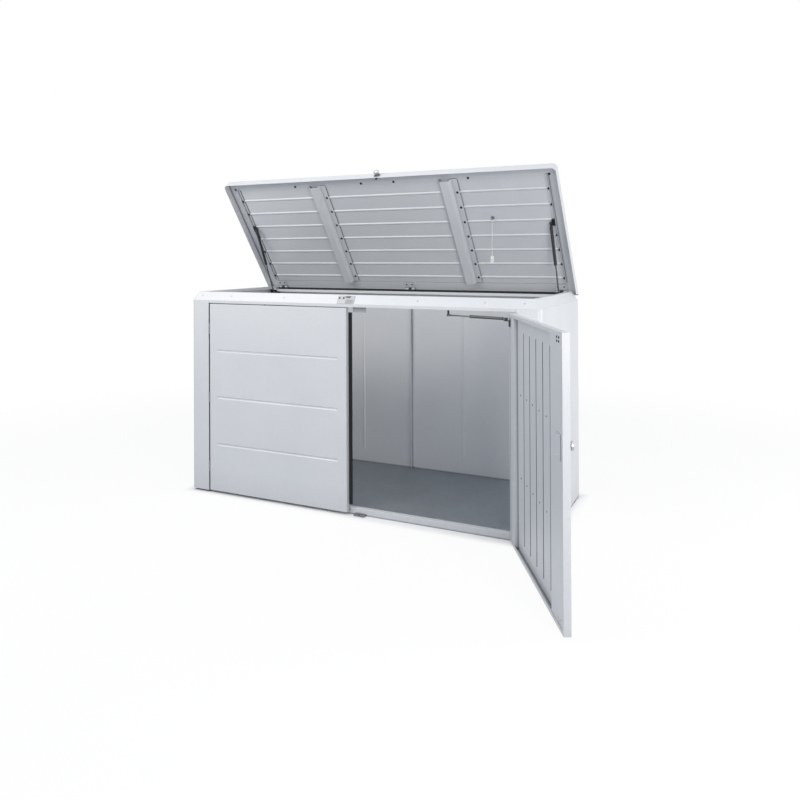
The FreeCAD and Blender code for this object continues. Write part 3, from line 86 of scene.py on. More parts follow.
def dress(finish, *nodes):
    """Puts a finish on nodes of the frame."""
    for node in nodes:
        for part in frame["nodes"][node].material_slots:
            part.material = finish


zinc, tree, surface, place = new_finish("hot_dip_galvanised_steel", {"Metallic": 0.75})
spangle = add(tree, "ShaderNodeTexVoronoi", {"Vector": place, "Scale": 1 / (16 * MM)})
patch = add(tree, "ShaderNodeSeparateColor", {"Color": spangle.outputs["Color"]}).outputs["Red"]
stain = add(tree, "ShaderNodeTexNoise", {
    "Vector": place, "Scale": 1 / (140 * MM), "Detail": 5.0}).outputs["Fac"]
grey = add(tree, "ShaderNodeMix", {0: patch, 6: linear("9299A1"), 7: linear("A5ABB2")}, data_type="RGBA")
dust = add(tree, "ShaderNodeMapRange", {"Value": stain, "From Min": 0.45, "From Max": 0.75, "To Max": 0.35})
grey = add(tree, "ShaderNodeMix", {0: dust.outputs["Result"], 6: grey.outputs[2], 7: linear("8F9092")},
           data_type="RGBA")
tree.links.new(grey.outputs[2], surface.inputs["Base Color"])
rough = add(tree, "ShaderNodeMapRange", {"Value": patch, "To Min": 0.38, "To Max": 0.55})
tree.links.new(rough.outputs["Result"], surface.inputs["Roughness"])
relief = add(tree, "ShaderNodeBump", {"Height": patch, "Strength": 0.15, "Distance": 0.05 * MM})
tree.links.new(relief.outputs["Normal"], surface.inputs["Normal"])
dress(zinc, "floor_panel", "floor_supports", "base_rails")

# Folded sheet body: walls with their posts, rims, lintel, sill, door trays and liners, lid and rails.
# Zinc-coated steel sheet 1.2 mm thick, powder coated light silver after folding and baked.
# The panels hook into each other and are screwed together from inside.

# The coat is fine metal flake in a satin film with a trace of orange peel. Flake is far finer than a
# pixel, so it is drawn at 2.5 mm to show. A slow wave of 260 mm is the sheet, which is never quite flat.
# Creases, grooves and seams within 14 mm are darker in colour: painted shade. The sheet is also darker in
# specks near the foot.
silver, tree, surface, place = new_finish(
    "silver_powder_coat", {"Metallic": 0.12, "Specular IOR Level": 0.35})
cells = add(tree, "ShaderNodeTexVoronoi", {"Vector": place, "Scale": 1 / (2.5 * MM)})
flake = add(tree, "ShaderNodeSeparateColor", {"Color": cells.outputs["Color"]}).outputs["Red"]
cloud = add(tree, "ShaderNodeTexNoise", {
    "Vector": place, "Scale": 1 / (220 * MM), "Detail": 4.0}).outputs["Fac"]
film = add(tree, "ShaderNodeMix", {0: flake, 6: linear("D9DBDE"), 7: linear("E3E5E7")}, data_type="RGBA")
tint = add(tree, "ShaderNodeMapRange", {"Value": cloud, "From Min": 0.35, "From Max": 0.7, "To Max": 0.5})
film = add(tree, "ShaderNodeMix", {0: tint.outputs["Result"], 6: film.outputs[2], 7: linear("D7D9DD")},
           data_type="RGBA")
# Darker in specks near the foot, below 150 mm above the floor.
height = add(tree, "ShaderNodeSeparateXYZ", {"Vector": place}).outputs["Z"]
darker_near_foot = add(tree, "ShaderNodeMapRange", {"Value": height, "From Min": 20 * MM, "From Max": 150 * MM,
                                          "To Min": 0.3, "To Max": 0.0}).outputs["Result"]
speck = add(tree, "ShaderNodeTexNoise", {
    "Vector": place, "Scale": 1 / (18 * MM), "Detail": 6.0}).outputs["Fac"]
darker_near_foot = add(tree, "ShaderNodeMath", {0: darker_near_foot, 1: speck}, operation="MULTIPLY").outputs["Value"]
film = add(tree, "ShaderNodeMix", {0: darker_near_foot, 6: film.outputs[2], 7: linear("B3B1AB")}, data_type="RGBA")
# Painted shade: the coat's colour goes to dark grey where ambient occlusion finds a crease, groove or seam
# within 14 mm.
painted_crease_shade = add(tree, "ShaderNodeAmbientOcclusion", {"Distance": 14 * MM}, samples=8).outputs["AO"]
outside_painted_shade = add(tree, "ShaderNodeMapRange", {"Value": painted_crease_shade, "From Min": 0.45, "From Max": 0.88}).outputs["Result"]
film = add(tree, "ShaderNodeMix", {0: outside_painted_shade, 6: linear("6F747B"), 7: film.outputs[2]}, data_type="RGBA")
tree.links.new(film.outputs[2], surface.inputs["Base Color"])
rough = add(tree, "ShaderNodeMapRange", {"Value": cloud, "To Min": 0.42, "To Max": 0.56})
tree.links.new(rough.outputs["Result"], surface.inputs["Roughness"])
wave = add(tree, "ShaderNodeTexNoise", {
    "Vector": place, "Scale": 1 / (260 * MM), "Detail": 1.0}).outputs["Fac"]
wavy = add(tree, "ShaderNodeBump", {"Height": wave, "Strength": 0.35, "Distance": 1.5 * MM})
peel = add(tree, "ShaderNodeTexNoise", {"Vector": place, "Scale": 1 / (4 * MM), "Detail": 1.0}).outputs["Fac"]
skin = add(tree, "ShaderNodeBump", {"Height": peel, "Strength": 0.25, "Distance": 0.06 * MM,
                                    "Normal": wavy.outputs["Normal"]})
tree.links.new(skin.outputs["Normal"], surface.inputs["Normal"])
dress(silver, "front_sill", "left_side_wall", "right_side_wall", "rear_wall_left", "rear_wall_right",
      "post_liners", "left_rim", "right_rim", "front_rim", "front_lintel", "rear_rim",
      "left_door_skin", "left_door_liner", "left_door_stiffeners",
      "right_door_skin", "right_door_liner", "right_door_stiffeners", "door_lock_case",
      "lid_skin", "lid_front_rail", "lid_rear_rail", "lid_side_rails", "lid_stiffeners", "lid_hinge_leaves")

# Rubber strips: the seal along the rear rim under the lid, and the strip on the left leaf that the
# right leaf shuts against. Extruded EPDM, matt black, with a fine bloom from the die.
rubber, tree, surface, place = new_finish("extruded_epdm_rubber", {"Specular IOR Level": 0.35})
bloom = add(tree, "ShaderNodeTexNoise", {
    "Vector": place, "Scale": 1 / (9 * MM), "Detail": 5.0}).outputs["Fac"]
black = add(tree, "ShaderNodeMix", {0: bloom, 6: linear("17181A"), 7: linear("2A2B2D")}, data_type="RGBA")
tree.links.new(black.outputs[2], surface.inputs["Base Color"])
rough = add(tree, "ShaderNodeMapRange", {"Value": bloom, "To Min": 0.6, "To Max": 0.8})
tree.links.new(rough.outputs["Result"], surface.inputs["Roughness"])
drag = add(tree, "ShaderNodeTexNoise", {
    "Vector": place, "Scale": 1 / (1.2 * MM), "Detail": 2.0}).outputs["Fac"]
relief = add(tree, "ShaderNodeBump", {"Height": drag, "Strength": 0.3, "Distance": 0.1 * MM})
tree.links.new(relief.outputs["Normal"], surface.inputs["Normal"])
dress(rubber, "rear_seal", "left_door_seal")

# Black fittings: strut and stay studs, lid hinge blocks, strut and stay brackets and the lid's hook cam.
# Cut and bent steel, black e-coat, screwed on.
ecoat, tree, surface, place = new_finish("black_e_coated_steel", {"Metallic": 0.2, "Coat Weight": 0.1})
grain = add(tree, "ShaderNodeTexNoise", {
    "Vector": place, "Scale": 1 / (1.5 * MM), "Detail": 3.0}).outputs["Fac"]
worn = add(tree, "ShaderNodeTexNoise", {
    "Vector": place, "Scale": 1 / (12 * MM), "Detail": 6.0}).outputs["Fac"]
rub = add(tree, "ShaderNodeMapRange", {"Value": worn, "From Min": 0.6, "From Max": 0.75, "To Max": 0.5})
black = add(tree, "ShaderNodeMix", {0: rub.outputs["Result"], 6: linear("1D1E20"), 7: linear("3A3B3E")},
            data_type="RGBA")
tree.links.new(black.outputs[2], surface.inputs["Base Color"])
rough = add(tree, "ShaderNodeMapRange", {"Value": worn, "To Min": 0.36, "To Max": 0.56})
tree.links.new(rough.outputs["Result"], surface.inputs["Roughness"])
relief = add(tree, "ShaderNodeBump", {"Height": grain, "Strength": 0.25, "Distance": 0.08 * MM})
tree.links.new(relief.outputs["Normal"], surface.inputs["Normal"])
dress(ecoat, "strut_wall_studs", "stay_studs", "lid_hinge_blocks", "strut_lid_brackets",
      "left_door_stay_bracket", "right_door_stay_bracket", "lid_cam")

# Plated steel: door hinge leaves with their pins, the strike on the rim, the sliding bolts with their
# keeper, the door stop, the cord eye and the lid lock's rose. Pressed steel, zinc plated and passivated,
# which leaves fine rolling lines and a dull haze. Leaves are riveted, plates are screwed.
plated, tree, surface, place = new_finish("bright_zinc_plated_steel", {"Metallic": 1.0})
drawn = add(tree, "ShaderNodeMapping", {
    "Vector": place, "Scale": (1 / (1.2 * MM), 1 / (1.2 * MM), 1 / (30 * MM))})
lines = add(tree, "ShaderNodeTexNoise", {
    "Vector": drawn.outputs["Vector"], "Scale": 1.0, "Detail": 3.0}).outputs["Fac"]
haze = add(tree, "ShaderNodeTexNoise", {
    "Vector": place, "Scale": 1 / (22 * MM), "Detail": 4.0}).outputs["Fac"]
bright = add(tree, "ShaderNodeMix", {0: haze, 6: linear("92969B"), 7: linear("A6A9AD")}, data_type="RGBA")
# Painted shade: the plating's colour goes to near black where ambient occlusion finds a crease or recess
# within 14 mm.
painted_crease_shade = add(tree, "ShaderNodeAmbientOcclusion", {"Distance": 14 * MM}, samples=8).outputs["AO"]
outside_painted_shade = add(tree, "ShaderNodeMapRange", {"Value": painted_crease_shade, "From Min": 0.45, "From Max": 0.9}).outputs["Result"]
bright = add(tree, "ShaderNodeMix", {0: outside_painted_shade, 6: linear("37393C"), 7: bright.outputs[2]}, data_type="RGBA")
tree.links.new(bright.outputs[2], surface.inputs["Base Color"])
rough = add(tree, "ShaderNodeMapRange", {"Value": lines, "To Min": 0.44, "To Max": 0.6})
tree.links.new(rough.outputs["Result"], surface.inputs["Roughness"])
relief = add(tree, "ShaderNodeBump", {"Height": lines, "Strength": 0.2, "Distance": 0.05 * MM})
tree.links.new(relief.outputs["Normal"], surface.inputs["Normal"])
dress(plated, "door_hinge_leaves", "hinge_pins", "left_door_hinge_leaves", "right_door_hinge_leaves",
      "lid_strike", "door_top_bolt", "door_bottom_bolt", "bolt_keeper", "door_stop", "cord_eye",
      "lid_lock_case")

# Turning knobs of the door lock and the lid lock, each with its spindle.
# Die-cast zinc, satin chromed after a fine turning cut; fixed by a nut behind the rose.
chrome, tree, surface, place = new_finish("satin_chromed_zinc", {"Metallic": 1.0})
turning = add(tree, "ShaderNodeTexNoise", {
    "Vector": place, "Scale": 1 / (0.8 * MM), "Detail": 2.0}).outputs["Fac"]
touch = add(tree, "ShaderNodeTexNoise", {
    "Vector": place, "Scale": 1 / (10 * MM), "Detail": 5.0}).outputs["Fac"]
tone = add(tree, "ShaderNodeMix", {0: touch, 6: linear("B2B5B9"), 7: linear("C4C6C9")}, data_type="RGBA")
tree.links.new(tone.outputs[2], surface.inputs["Base Color"])
rough = add(tree, "ShaderNodeMapRange", {"Value": touch, "To Min": 0.32, "To Max": 0.46})
tree.links.new(rough.outputs["Result"], surface.inputs["Roughness"])
relief = add(tree, "ShaderNodeBump", {"Height": turning, "Strength": 0.12, "Distance": 0.03 * MM})
tree.links.new(relief.outputs["Normal"], surface.inputs["Normal"])
dress(chrome, "door_knob", "lid_knob")

# Gas springs: two long struts for the lid and two short stays above the doors.
# The tube is cold-drawn steel in gloss black enamel; the rod is ground steel, nitrided dark grey,
# with a film of oil. Each end is a pressed eye on its stud.
enamel, tree, surface, place = new_finish("gloss_black_enamel", {"Coat Weight": 0.6, "Coat Roughness": 0.08})
dust = add(tree, "ShaderNodeTexNoise", {
    "Vector": place, "Scale": 1 / (14 * MM), "Detail": 6.0}).outputs["Fac"]
film = add(tree, "ShaderNodeMapRange", {"Value": dust, "From Min": 0.5, "From Max": 0.8, "To Max": 0.4})
black = add(tree, "ShaderNodeMix", {0: film.outputs["Result"], 6: linear("121315"), 7: linear("34363A")},
            data_type="RGBA")
tree.links.new(black.outputs[2], surface.inputs["Base Color"])
rough = add(tree, "ShaderNodeMapRange", {"Value": dust, "To Min": 0.2, "To Max": 0.4})
tree.links.new(rough.outputs["Result"], surface.inputs["Roughness"])
dress(enamel, "left_strut_tube", "right_strut_tube", "left_stay_tube", "right_stay_tube")

nitrided, tree, surface, place = new_finish("ground_nitrided_steel", {"Metallic": 1.0})
grinding = add(tree, "ShaderNodeTexNoise", {
    "Vector": place, "Scale": 1 / (1.0 * MM), "Detail": 2.0}).outputs["Fac"]
oil = add(tree, "ShaderNodeTexNoise", {"Vector": place, "Scale": 1 / (18 * MM), "Detail": 3.0}).outputs["Fac"]
tone = add(tree, "ShaderNodeMix", {0: oil, 6: linear("5B5E63"), 7: linear("787B80")}, data_type="RGBA")
tree.links.new(tone.outputs[2], surface.inputs["Base Color"])
rough = add(tree, "ShaderNodeMapRange", {"Value": grinding, "To Min": 0.16, "To Max": 0.32})
tree.links.new(rough.outputs["Result"], surface.inputs["Roughness"])
dress(nitrided, "left_strut_rod", "right_strut_rod", "left_stay_rod", "right_stay_rod")

# Screw and rivet heads: what holds rails, stiffeners, plates and liners on the sheet. Pan-head and capped
# screws of black or coated steel, and blind rivets with a broken mandrel in the middle.
# Each sits flat on its sheet; places are in millimetres on the shut box.
joints = {joint["name"]: joint for joint in frame["joints"]}


def opened(hinge, place):
    """Where a point of the shut leaf or lid goes at rest, with its leaf or lid open."""
    joint = joints[hinge]
    pivot = Vector(joint["pos_m"])
    turn = Matrix.Rotation(math.radians(-joint["range_deg"][0]), 3, Vector(joint["axis"]))
    return pivot + turn @ (place - pivot)


def on(hinge, x, y, z, facing):
    """Place in metres and facing of a head given in millimetres on the shut box."""
    place = Vector((x, y, z)) * MM
    tip = place + Vector(facing)
    if hinge is None:
        return place, tip - place
    return opened(hinge, place), opened(hinge, tip) - opened(hinge, place)


heads = bpy.data.node_groups.new("screw_and_rivet_heads", "GeometryNodeTree")
heads.interface.new_socket("Geometry", in_out="INPUT", socket_type="NodeSocketGeometry")
for name in ("Head radius", "Crown radius", "Head height", "Recess radius", "Recess depth"):
    heads.interface.new_socket(name, in_out="INPUT", socket_type="NodeSocketFloat")
heads.interface.new_socket("Finish", in_out="INPUT", socket_type="NodeSocketMaterial")
heads.interface.new_socket("Geometry", in_out="OUTPUT", socket_type="NodeSocketGeometry")
given = add(heads, "NodeGroupInput").outputs
crown = add(heads, "GeometryNodeMeshCone", {
    "Vertices": 18, "Radius Top": given["Crown radius"], "Radius Bottom": given["Head radius"],
    "Depth": given["Head height"]}, fill_type="NGON")
inset = add(heads, "GeometryNodeExtrudeMesh", {
    "Mesh": crown.outputs["Mesh"], "Selection": crown.outputs["Top"],
    "Offset Scale": 0.0, "Individual": False})
share = add(heads, "ShaderNodeMath", {
    0: given["Recess radius"], 1: given["Crown radius"]}, operation="DIVIDE")
narrow = add(heads, "GeometryNodeScaleElements", {
    "Geometry": inset.outputs["Mesh"], "Selection": inset.outputs["Top"], "Scale": share.outputs["Value"]})
sunk = add(heads, "ShaderNodeMath", {0: given["Recess depth"], 1: -1.0}, operation="MULTIPLY")
recess = add(heads, "GeometryNodeExtrudeMesh", {
    "Mesh": narrow.outputs["Geometry"], "Selection": inset.outputs["Top"],
    "Offset Scale": sunk.outputs["Value"], "Individual": False})
facing = add(heads, "GeometryNodeInputNamedAttribute", {"Name": "facing"}, data_type="FLOAT_VECTOR")
turned = add(heads, "FunctionNodeAlignRotationToVector", {"Vector": facing.outputs["Attribute"]}, axis="Z")
spread = add(heads, "GeometryNodeInstanceOnPoints", {
    "Points": given["Geometry"], "Instance": recess.outputs["Mesh"], "Rotation": turned.outputs["Rotation"]})
solid = add(heads, "GeometryNodeRealizeInstances", {"Geometry": spread.outputs["Instances"]})
shown = add(heads, "GeometryNodeSetMaterial", {
    "Geometry": solid.outputs["Geometry"], "Material": given["Finish"]})
add(heads, "NodeGroupOutput", {"Geometry": shown.outputs["Geometry"]})
HEAD_INPUTS = {item.name: item.identifier for item in heads.interface.items_tree if item.in_out == "INPUT"}


def set_heads(name, body, places, finish, sizes):
    """One mesh of like heads on a body, each at its place and facing."""
    mesh = bpy.data.meshes.new(name)
    mesh.from_pydata([place for place, facing in places], [], [])
    facings = mesh.attributes.new("facing", "FLOAT_VECTOR", "POINT")
    facings.data.foreach_set("vector", [part for place, facing in places for part in facing])
    piece = bpy.data.objects.new(name, mesh)
    bpy.context.scene.collection.objects.link(piece)
    modifier = piece.modifiers.new("heads", "NODES")
    modifier.node_group = heads
    for label, size in sizes.items():
        modifier[HEAD_INPUTS[label]] = size * MM
    modifier[HEAD_INPUTS["Finish"]] = finish
    graph = bpy.context.evaluated_depsgraph_get()
    made = bpy.data.meshes.new_from_object(piece.evaluated_get(graph))
    piece.modifiers.clear()
    piece.data = made
    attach(piece, body)


PAN_SCREW = {
    "Head radius": 5.0, "Crown radius": 3.6, "Head height": 2.2, "Recess radius": 1.9, "Recess depth": 1.3}
BLIND_RIVET = {
    "Head radius": 4.2, "Crown radius": 2.4, "Head height": 1.3, "Recess radius": 1.1, "Recess depth": 0.6}
CAPPED_SCREW = {
    "Head radius": 7.0, "Crown radius": 5.4, "Head height": 3.0, "Recess radius": 1.9, "Recess depth": 1.6}
DOWN, OUT_BACK = (0, 0, -1), (0, 1, 0)
SIDES = (-1, 1)

FIRST_LID_BEAD, LID_BEAD_PITCH, LID_BEAD_COUNT = -277, 97, 7
LID_BEADS = [FIRST_LID_BEAD + LID_BEAD_PITCH * i for i in range(LID_BEAD_COUNT)]
FRONT_RAIL_SCREWS = (-963, -535, -102, 99, 528, 953)
FRONT_RAIL_Y, FRONT_RAIL_UNDERSIDE = -361, 1128.6
SIDE_RAIL_X, RAIL_UNDERSIDE = 939, 1124.6
STIFFENERS_X, STIFFENER_FLANGE = (-400, 400), 52
lid_places = [on("lid_hinge", x, FRONT_RAIL_Y, FRONT_RAIL_UNDERSIDE, DOWN) for x in FRONT_RAIL_SCREWS]
lid_places += [on("lid_hinge", side * SIDE_RAIL_X, y, RAIL_UNDERSIDE, DOWN)
               for side in SIDES for y in LID_BEADS]
lid_places += [on("lid_hinge", x + STIFFENER_FLANGE, y, RAIL_UNDERSIDE, DOWN)
               for x in STIFFENERS_X for y in LID_BEADS]
set_heads("lid_screws", "lid", lid_places, ecoat, CAPPED_SCREW)

LID_LEAVES_X, LEAF_SCREW_Y, LEAF_UNDERSIDE, LEAF_SPREAD = (-912, 0, 912), 368, 1125.8, 18
leaf_places = [on("lid_hinge", x + side * LEAF_SPREAD, LEAF_SCREW_Y, LEAF_UNDERSIDE, DOWN)
               for x in LID_LEAVES_X for side in SIDES]
set_heads("lid_leaf_screws", "lid", leaf_places, ecoat, PAN_SCREW)

RIM_FOOT_Y, RIM_FOOT_Z = -418.8, 1079
RIM_RISE, RIM_RUN = 46, 24.8
RIM_FACING = (0, -RIM_RISE, RIM_RUN)


def on_rim(x, level, raised):
    """Place on the sloping front rim, raised square to it in millimetres."""
    depth = RIM_FOOT_Y + (level - RIM_FOOT_Z) / RIM_RISE * RIM_RUN
    size = math.hypot(RIM_RISE, RIM_RUN)
    return on(None, x, depth - raised * RIM_RISE / size, level + raised * RIM_RUN / size,
              [part / size for part in RIM_FACING])


RIM_SCREWS, RIM_SCREW_LEVEL = (-933, -731, -388, 388, 731, 921), 1104
rim_places = [on_rim(x, RIM_SCREW_LEVEL, 0) for x in RIM_SCREWS]
set_heads("rim_screws", "cabinet", rim_places, silver, PAN_SCREW)

STRIKE_SCREWS, STRIKE_SCREW_LEVEL, STRIKE_THICK = (-48, -24), 1108, 1.0
STUD_PLATE_X, STUD_PLATE_Y, STUD_PLATE_Z, STUD_SPREAD = 995.8, 318, 1033, 17
cabinet_places = [on_rim(x, STRIKE_SCREW_LEVEL, STRIKE_THICK) for x in STRIKE_SCREWS]
cabinet_places += [on(None, side * STUD_PLATE_X, STUD_PLATE_Y + end * STUD_SPREAD, STUD_PLATE_Z,
                      (-side, 0, 0)) for side in SIDES for end in SIDES]
set_heads("cabinet_screws", "cabinet", cabinet_places, ecoat, PAN_SCREW)

REAR_FACE, REAR_EDGE_X, SEAM_SPREAD = 418.8, 960, 12
FIRST_SEAM_RIVET, SEAM_PITCH, SEAM_COUNT = 90, 180, 6
SEAM_LEVELS = [FIRST_SEAM_RIVET + SEAM_PITCH * i for i in range(SEAM_COUNT)]
seam_places = [on(None, side * x, REAR_FACE, z, OUT_BACK)
               for x in (SEAM_SPREAD, REAR_EDGE_X) for side in SIDES for z in SEAM_LEVELS]
set_heads("rear_wall_rivets", "cabinet", seam_places, plated, BLIND_RIVET)

DOOR_AXIS_X, LINER_FACE, LINER_PITCH = 878, -411.1, 108
FIRST_LINER_RIVET, LINER_RIVET_COUNT, LINER_RIVET_LEVELS = 152, 6, (346, 710)
LINER_RIVETS = [(DOOR_AXIS_X - FIRST_LINER_RIVET - LINER_PITCH * i, z)
                for z in LINER_RIVET_LEVELS for i in range(LINER_RIVET_COUNT)]
left_places = [on(None, -x, LINER_FACE, z, OUT_BACK) for x, z in LINER_RIVETS]
set_heads("left_door_rivets", "left_door", left_places, ecoat, BLIND_RIVET)
right_places = [on("right_door_hinge", x, LINER_FACE, z, OUT_BACK) for x, z in LINER_RIVETS]
set_heads("right_door_rivets", "right_door", right_places, ecoat, BLIND_RIVET)

LOCK_X, LOCK_Z, LOCK_PLATE_FACE = 61, 656, -391.2
LOCK_SPREAD_X, LOCK_SPREAD_Z = 26, 40
GUIDE_FACE, GUIDE_SPREAD, LOWER_GUIDE, UPPER_GUIDE = -393.2, 13, (34, 50), (1024, 1038)


def guide_places(levels):
    """Places of the four screws in a bolt guide, at two levels."""
    return [on("right_door_hinge", LOCK_X + side * GUIDE_SPREAD, GUIDE_FACE, z, OUT_BACK)
            for side in SIDES for z in levels]


plate_places = [on("right_door_hinge", LOCK_X + side * LOCK_SPREAD_X, LOCK_PLATE_FACE,
                   LOCK_Z + end * LOCK_SPREAD_Z, OUT_BACK) for side in SIDES for end in SIDES]
plate_places += guide_places(LOWER_GUIDE)
set_heads("lock_plate_screws", "right_door", plate_places, silver, PAN_SCREW)
set_heads("lock_screws", "right_door", guide_places(UPPER_GUIDE), ecoat, PAN_SCREW)

# Dark pieces in the matt rubber of the seals. Along the hinge side of each groove in the door liners lies a
# thin
# strip that is painted shade: a dark sheet where the groove's shadow falls. A plug closes the open corner
# between each side rim and the rear rim; it is guessed, as if pressed in.


def rubber_piece(name, body, corners, faces):
    """A small dark piece in the rubber finish on a body."""
    mesh = bpy.data.meshes.new(name)
    mesh.from_pydata(corners, [], faces)
    mesh.materials.append(rubber)
    piece = bpy.data.objects.new(name, mesh)
    bpy.context.scene.collection.objects.link(piece)
    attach(piece, body)


def bar_faces(count, flipped, start):
    """Outward faces of a straight bar whose two ends have the same count of corners."""
    faces = [[k, (k + 1) % count, count + (k + 1) % count, count + k] for k in range(count)]
    faces += [list(range(count))[::-1], list(range(count, 2 * count))]
    return [[start + k for k in (face[::-1] if flipped else face)] for face in faces]


SHADOW_STRIP_SECTION = ((-5.8, -412.15), (0.8, -413.95), (-2.4, -413.9))
SHADOW_STRIP_ENDS, FIRST_GROOVE, GROOVE_COUNT = (68, 986), 206, 5
# Painted shade: a dark strip on the hinge-side slope of each groove, where the groove's shadow falls.
for body, hinge, side in (("left_door", None, -1), ("right_door", "right_door_hinge", 1)):
    corners = [on(hinge, side * (DOOR_AXIS_X - FIRST_GROOVE - LINER_PITCH * i - along), y, z, OUT_BACK)[0]
               for i in range(GROOVE_COUNT) for z in SHADOW_STRIP_ENDS for along, y in SHADOW_STRIP_SECTION]
    count = len(SHADOW_STRIP_SECTION)
    faces = [face for i in range(GROOVE_COUNT) for face in bar_faces(count, side < 0, 2 * count * i)]
    rubber_piece(body + "_groove_shadow_strips", body, corners, faces)
PLUG_ENDS = (950.6, 980)
PLUG_SIDE = ((352, 1066), (416.5, 1066), (416.5, 1081), (400, 1097), (390, 1103), (352, 1103))
corners = [Vector((side * x, y, z)) * MM for side in SIDES for x in PLUG_ENDS for y, z in PLUG_SIDE]
count = len(PLUG_SIDE)
faces = bar_faces(count, True, 0) + bar_faces(count, False, 2 * count)
rubber_piece("rim_end_plugs", "cabinet", corners, faces)

# Lifting cord: a thin braided polyester cord knotted to an eye under the lid, with a moulded clip that
# hooks on the rim of what stands below and lifts it with the lid. White, limp, 3 mm thick, 190 mm long.
# The braid crosses every 4 mm along the cord.
braid, tree, surface, place = new_finish("braided_polyester_cord", {"Roughness": 0.8, "Sheen Weight": 0.3})
wrap = add(tree, "ShaderNodeMapping", {
    "Vector": place, "Rotation": (0.0, math.radians(50), math.radians(30))})
strands = add(tree, "ShaderNodeTexWave", {
    "Vector": wrap.outputs["Vector"], "Scale": 1 / (8 * MM), "Distortion": 0.6})
white = add(tree, "ShaderNodeMix", {0: strands.outputs["Fac"], 6: linear("D8D8D4"), 7: linear("F2F2EF")},
            data_type="RGBA")
tree.links.new(white.outputs[2], surface.inputs["Base Color"])
relief = add(tree, "ShaderNodeBump", {
    "Height": strands.outputs["Fac"], "Strength": 0.6, "Distance": 0.3 * MM})
tree.links.new(relief.outputs["Normal"], surface.inputs["Normal"])
low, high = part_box("lifting_cord")
cord_x, cord_y = (low.x + high.x) / 2, (low.y + high.y) / 2
CORD_ROUTE = [(0.0, 0.0, 0.0), (0.0, 0.0, -18.0), (1.2, -0.8, -70.0), (-1.0, 0.8, -125.0), (0.0, 0.0, -172.0),
              (0.0, 0.0, -190.0)]
line = bpy.data.curves.new("lifting_cord_line", "CURVE")
line.dimensions = "3D"
line.bevel_depth = 1.5 * MM
line.bevel_resolution = 4
line.use_fill_caps = True
spline = line.splines.new("NURBS")
spline.points.add(len(CORD_ROUTE) - 1)
for point, (dx, dy, dz) in zip(spline.points, CORD_ROUTE):
    point.co = (cord_x + dx * MM, cord_y + dy * MM, high.z + dz * MM, 1.0)
spline.order_u = 3
spline.use_endpoint_u = True
spline.resolution_u = 12
cord = bpy.data.objects.new("cord_line", line)
bpy.context.scene.collection.objects.link(cord)
line.materials.append(braid)
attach(cord, "cord")
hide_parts("lifting_cord")

# Clip at the cord's end, which hooks on a rim: moulded white acetal with a satin skin and the finest of
# mould grain. It hangs on the cord's lower end.
acetal, tree, surface, place = new_finish("moulded_white_acetal", {"Specular IOR Level": 0.5})
flow = add(tree, "ShaderNodeTexNoise", {"Vector": place, "Scale": 1 / (6 * MM), "Detail": 3.0}).outputs["Fac"]
white = add(tree, "ShaderNodeMix", {0: flow, 6: linear("E9E9E6"), 7: linear("F5F5F2")}, data_type="RGBA")
tree.links.new(white.outputs[2], surface.inputs["Base Color"])
rough = add(tree, "ShaderNodeMapRange", {"Value": flow, "To Min": 0.32, "To Max": 0.48})
tree.links.new(rough.outputs["Result"], surface.inputs["Roughness"])
grain = add(tree, "ShaderNodeTexNoise", {"Vector": place, "Scale": 1 / (0.8 * MM)}).outputs["Fac"]
relief = add(tree, "ShaderNodeBump", {"Height": grain, "Strength": 0.15, "Distance": 0.04 * MM})
tree.links.new(relief.outputs["Normal"], surface.inputs["Normal"])
dress(acetal, "cord_clip")

# Camera: eye height in front of the right half, looking level to the left, framed low as in the picture.
# The lens and the shift follow from the picture's vanishing lines.
EYE = Vector((1.8407, -3.8401, 1.3288))
YAW, PITCH, ROLL = (math.radians(angle) for angle in (26.7096, 0.3201, -0.2405))
FOCAL_PIXELS, IMAGE_PIXELS = 759.14, 800
CENTRE_X, CENTRE_Y = 367.17, 250.89
ahead = Vector((-math.sin(YAW) * math.cos(PITCH), math.cos(YAW) * math.cos(PITCH), math.sin(PITCH)))
right = Vector((math.cos(YAW), math.sin(YAW), 0.0))
above = right.cross(ahead)
across = right * math.cos(ROLL) + above * math.sin(ROLL)
upward = above * math.cos(ROLL) - right * math.sin(ROLL)
lens = bpy.data.cameras.new("camera")
lens.sensor_width = 36.0
lens.lens = FOCAL_PIXELS / IMAGE_PIXELS * lens.sensor_width
lens.shift_x = (IMAGE_PIXELS / 2 - CENTRE_X) / IMAGE_PIXELS
lens.shift_y = -(IMAGE_PIXELS / 2 - CENTRE_Y) / IMAGE_PIXELS
camera = bpy.data.objects.new("camera", lens)
bpy.context.scene.collection.objects.link(camera)
turn = Matrix((across, upward, -ahead)).transposed()
camera.matrix_world = Matrix.Translation(EYE) @ turn.to_4x4()
bpy.context.scene.camera = camera

# Studio: a seamless floor that the camera sees white, with the shadow kept under and close to the box, a
# white surround, and four large soft lamps: in front at the left, in front at the right, at the right
# and overhead. The light that falls on the box is cooler from the surround and warmer from the lamps.
WHITE = (1.0, 1.0, 1.0, 1.0)


def looked_at(tree):
    """One for a ray that looks, straight or by metal or glass, and nought for a ray that brings light."""
    rays = add(tree, "ShaderNodeLightPath").outputs
    seen = add(tree, "ShaderNodeMath", {
        0: rays["Is Camera Ray"], 1: rays["Is Glossy Ray"]}, operation="MAXIMUM")
    seen = add(tree, "ShaderNodeMath", {
        0: seen.outputs["Value"], 1: rays["Is Transmission Ray"]}, operation="MAXIMUM")
    return seen.outputs["Value"]


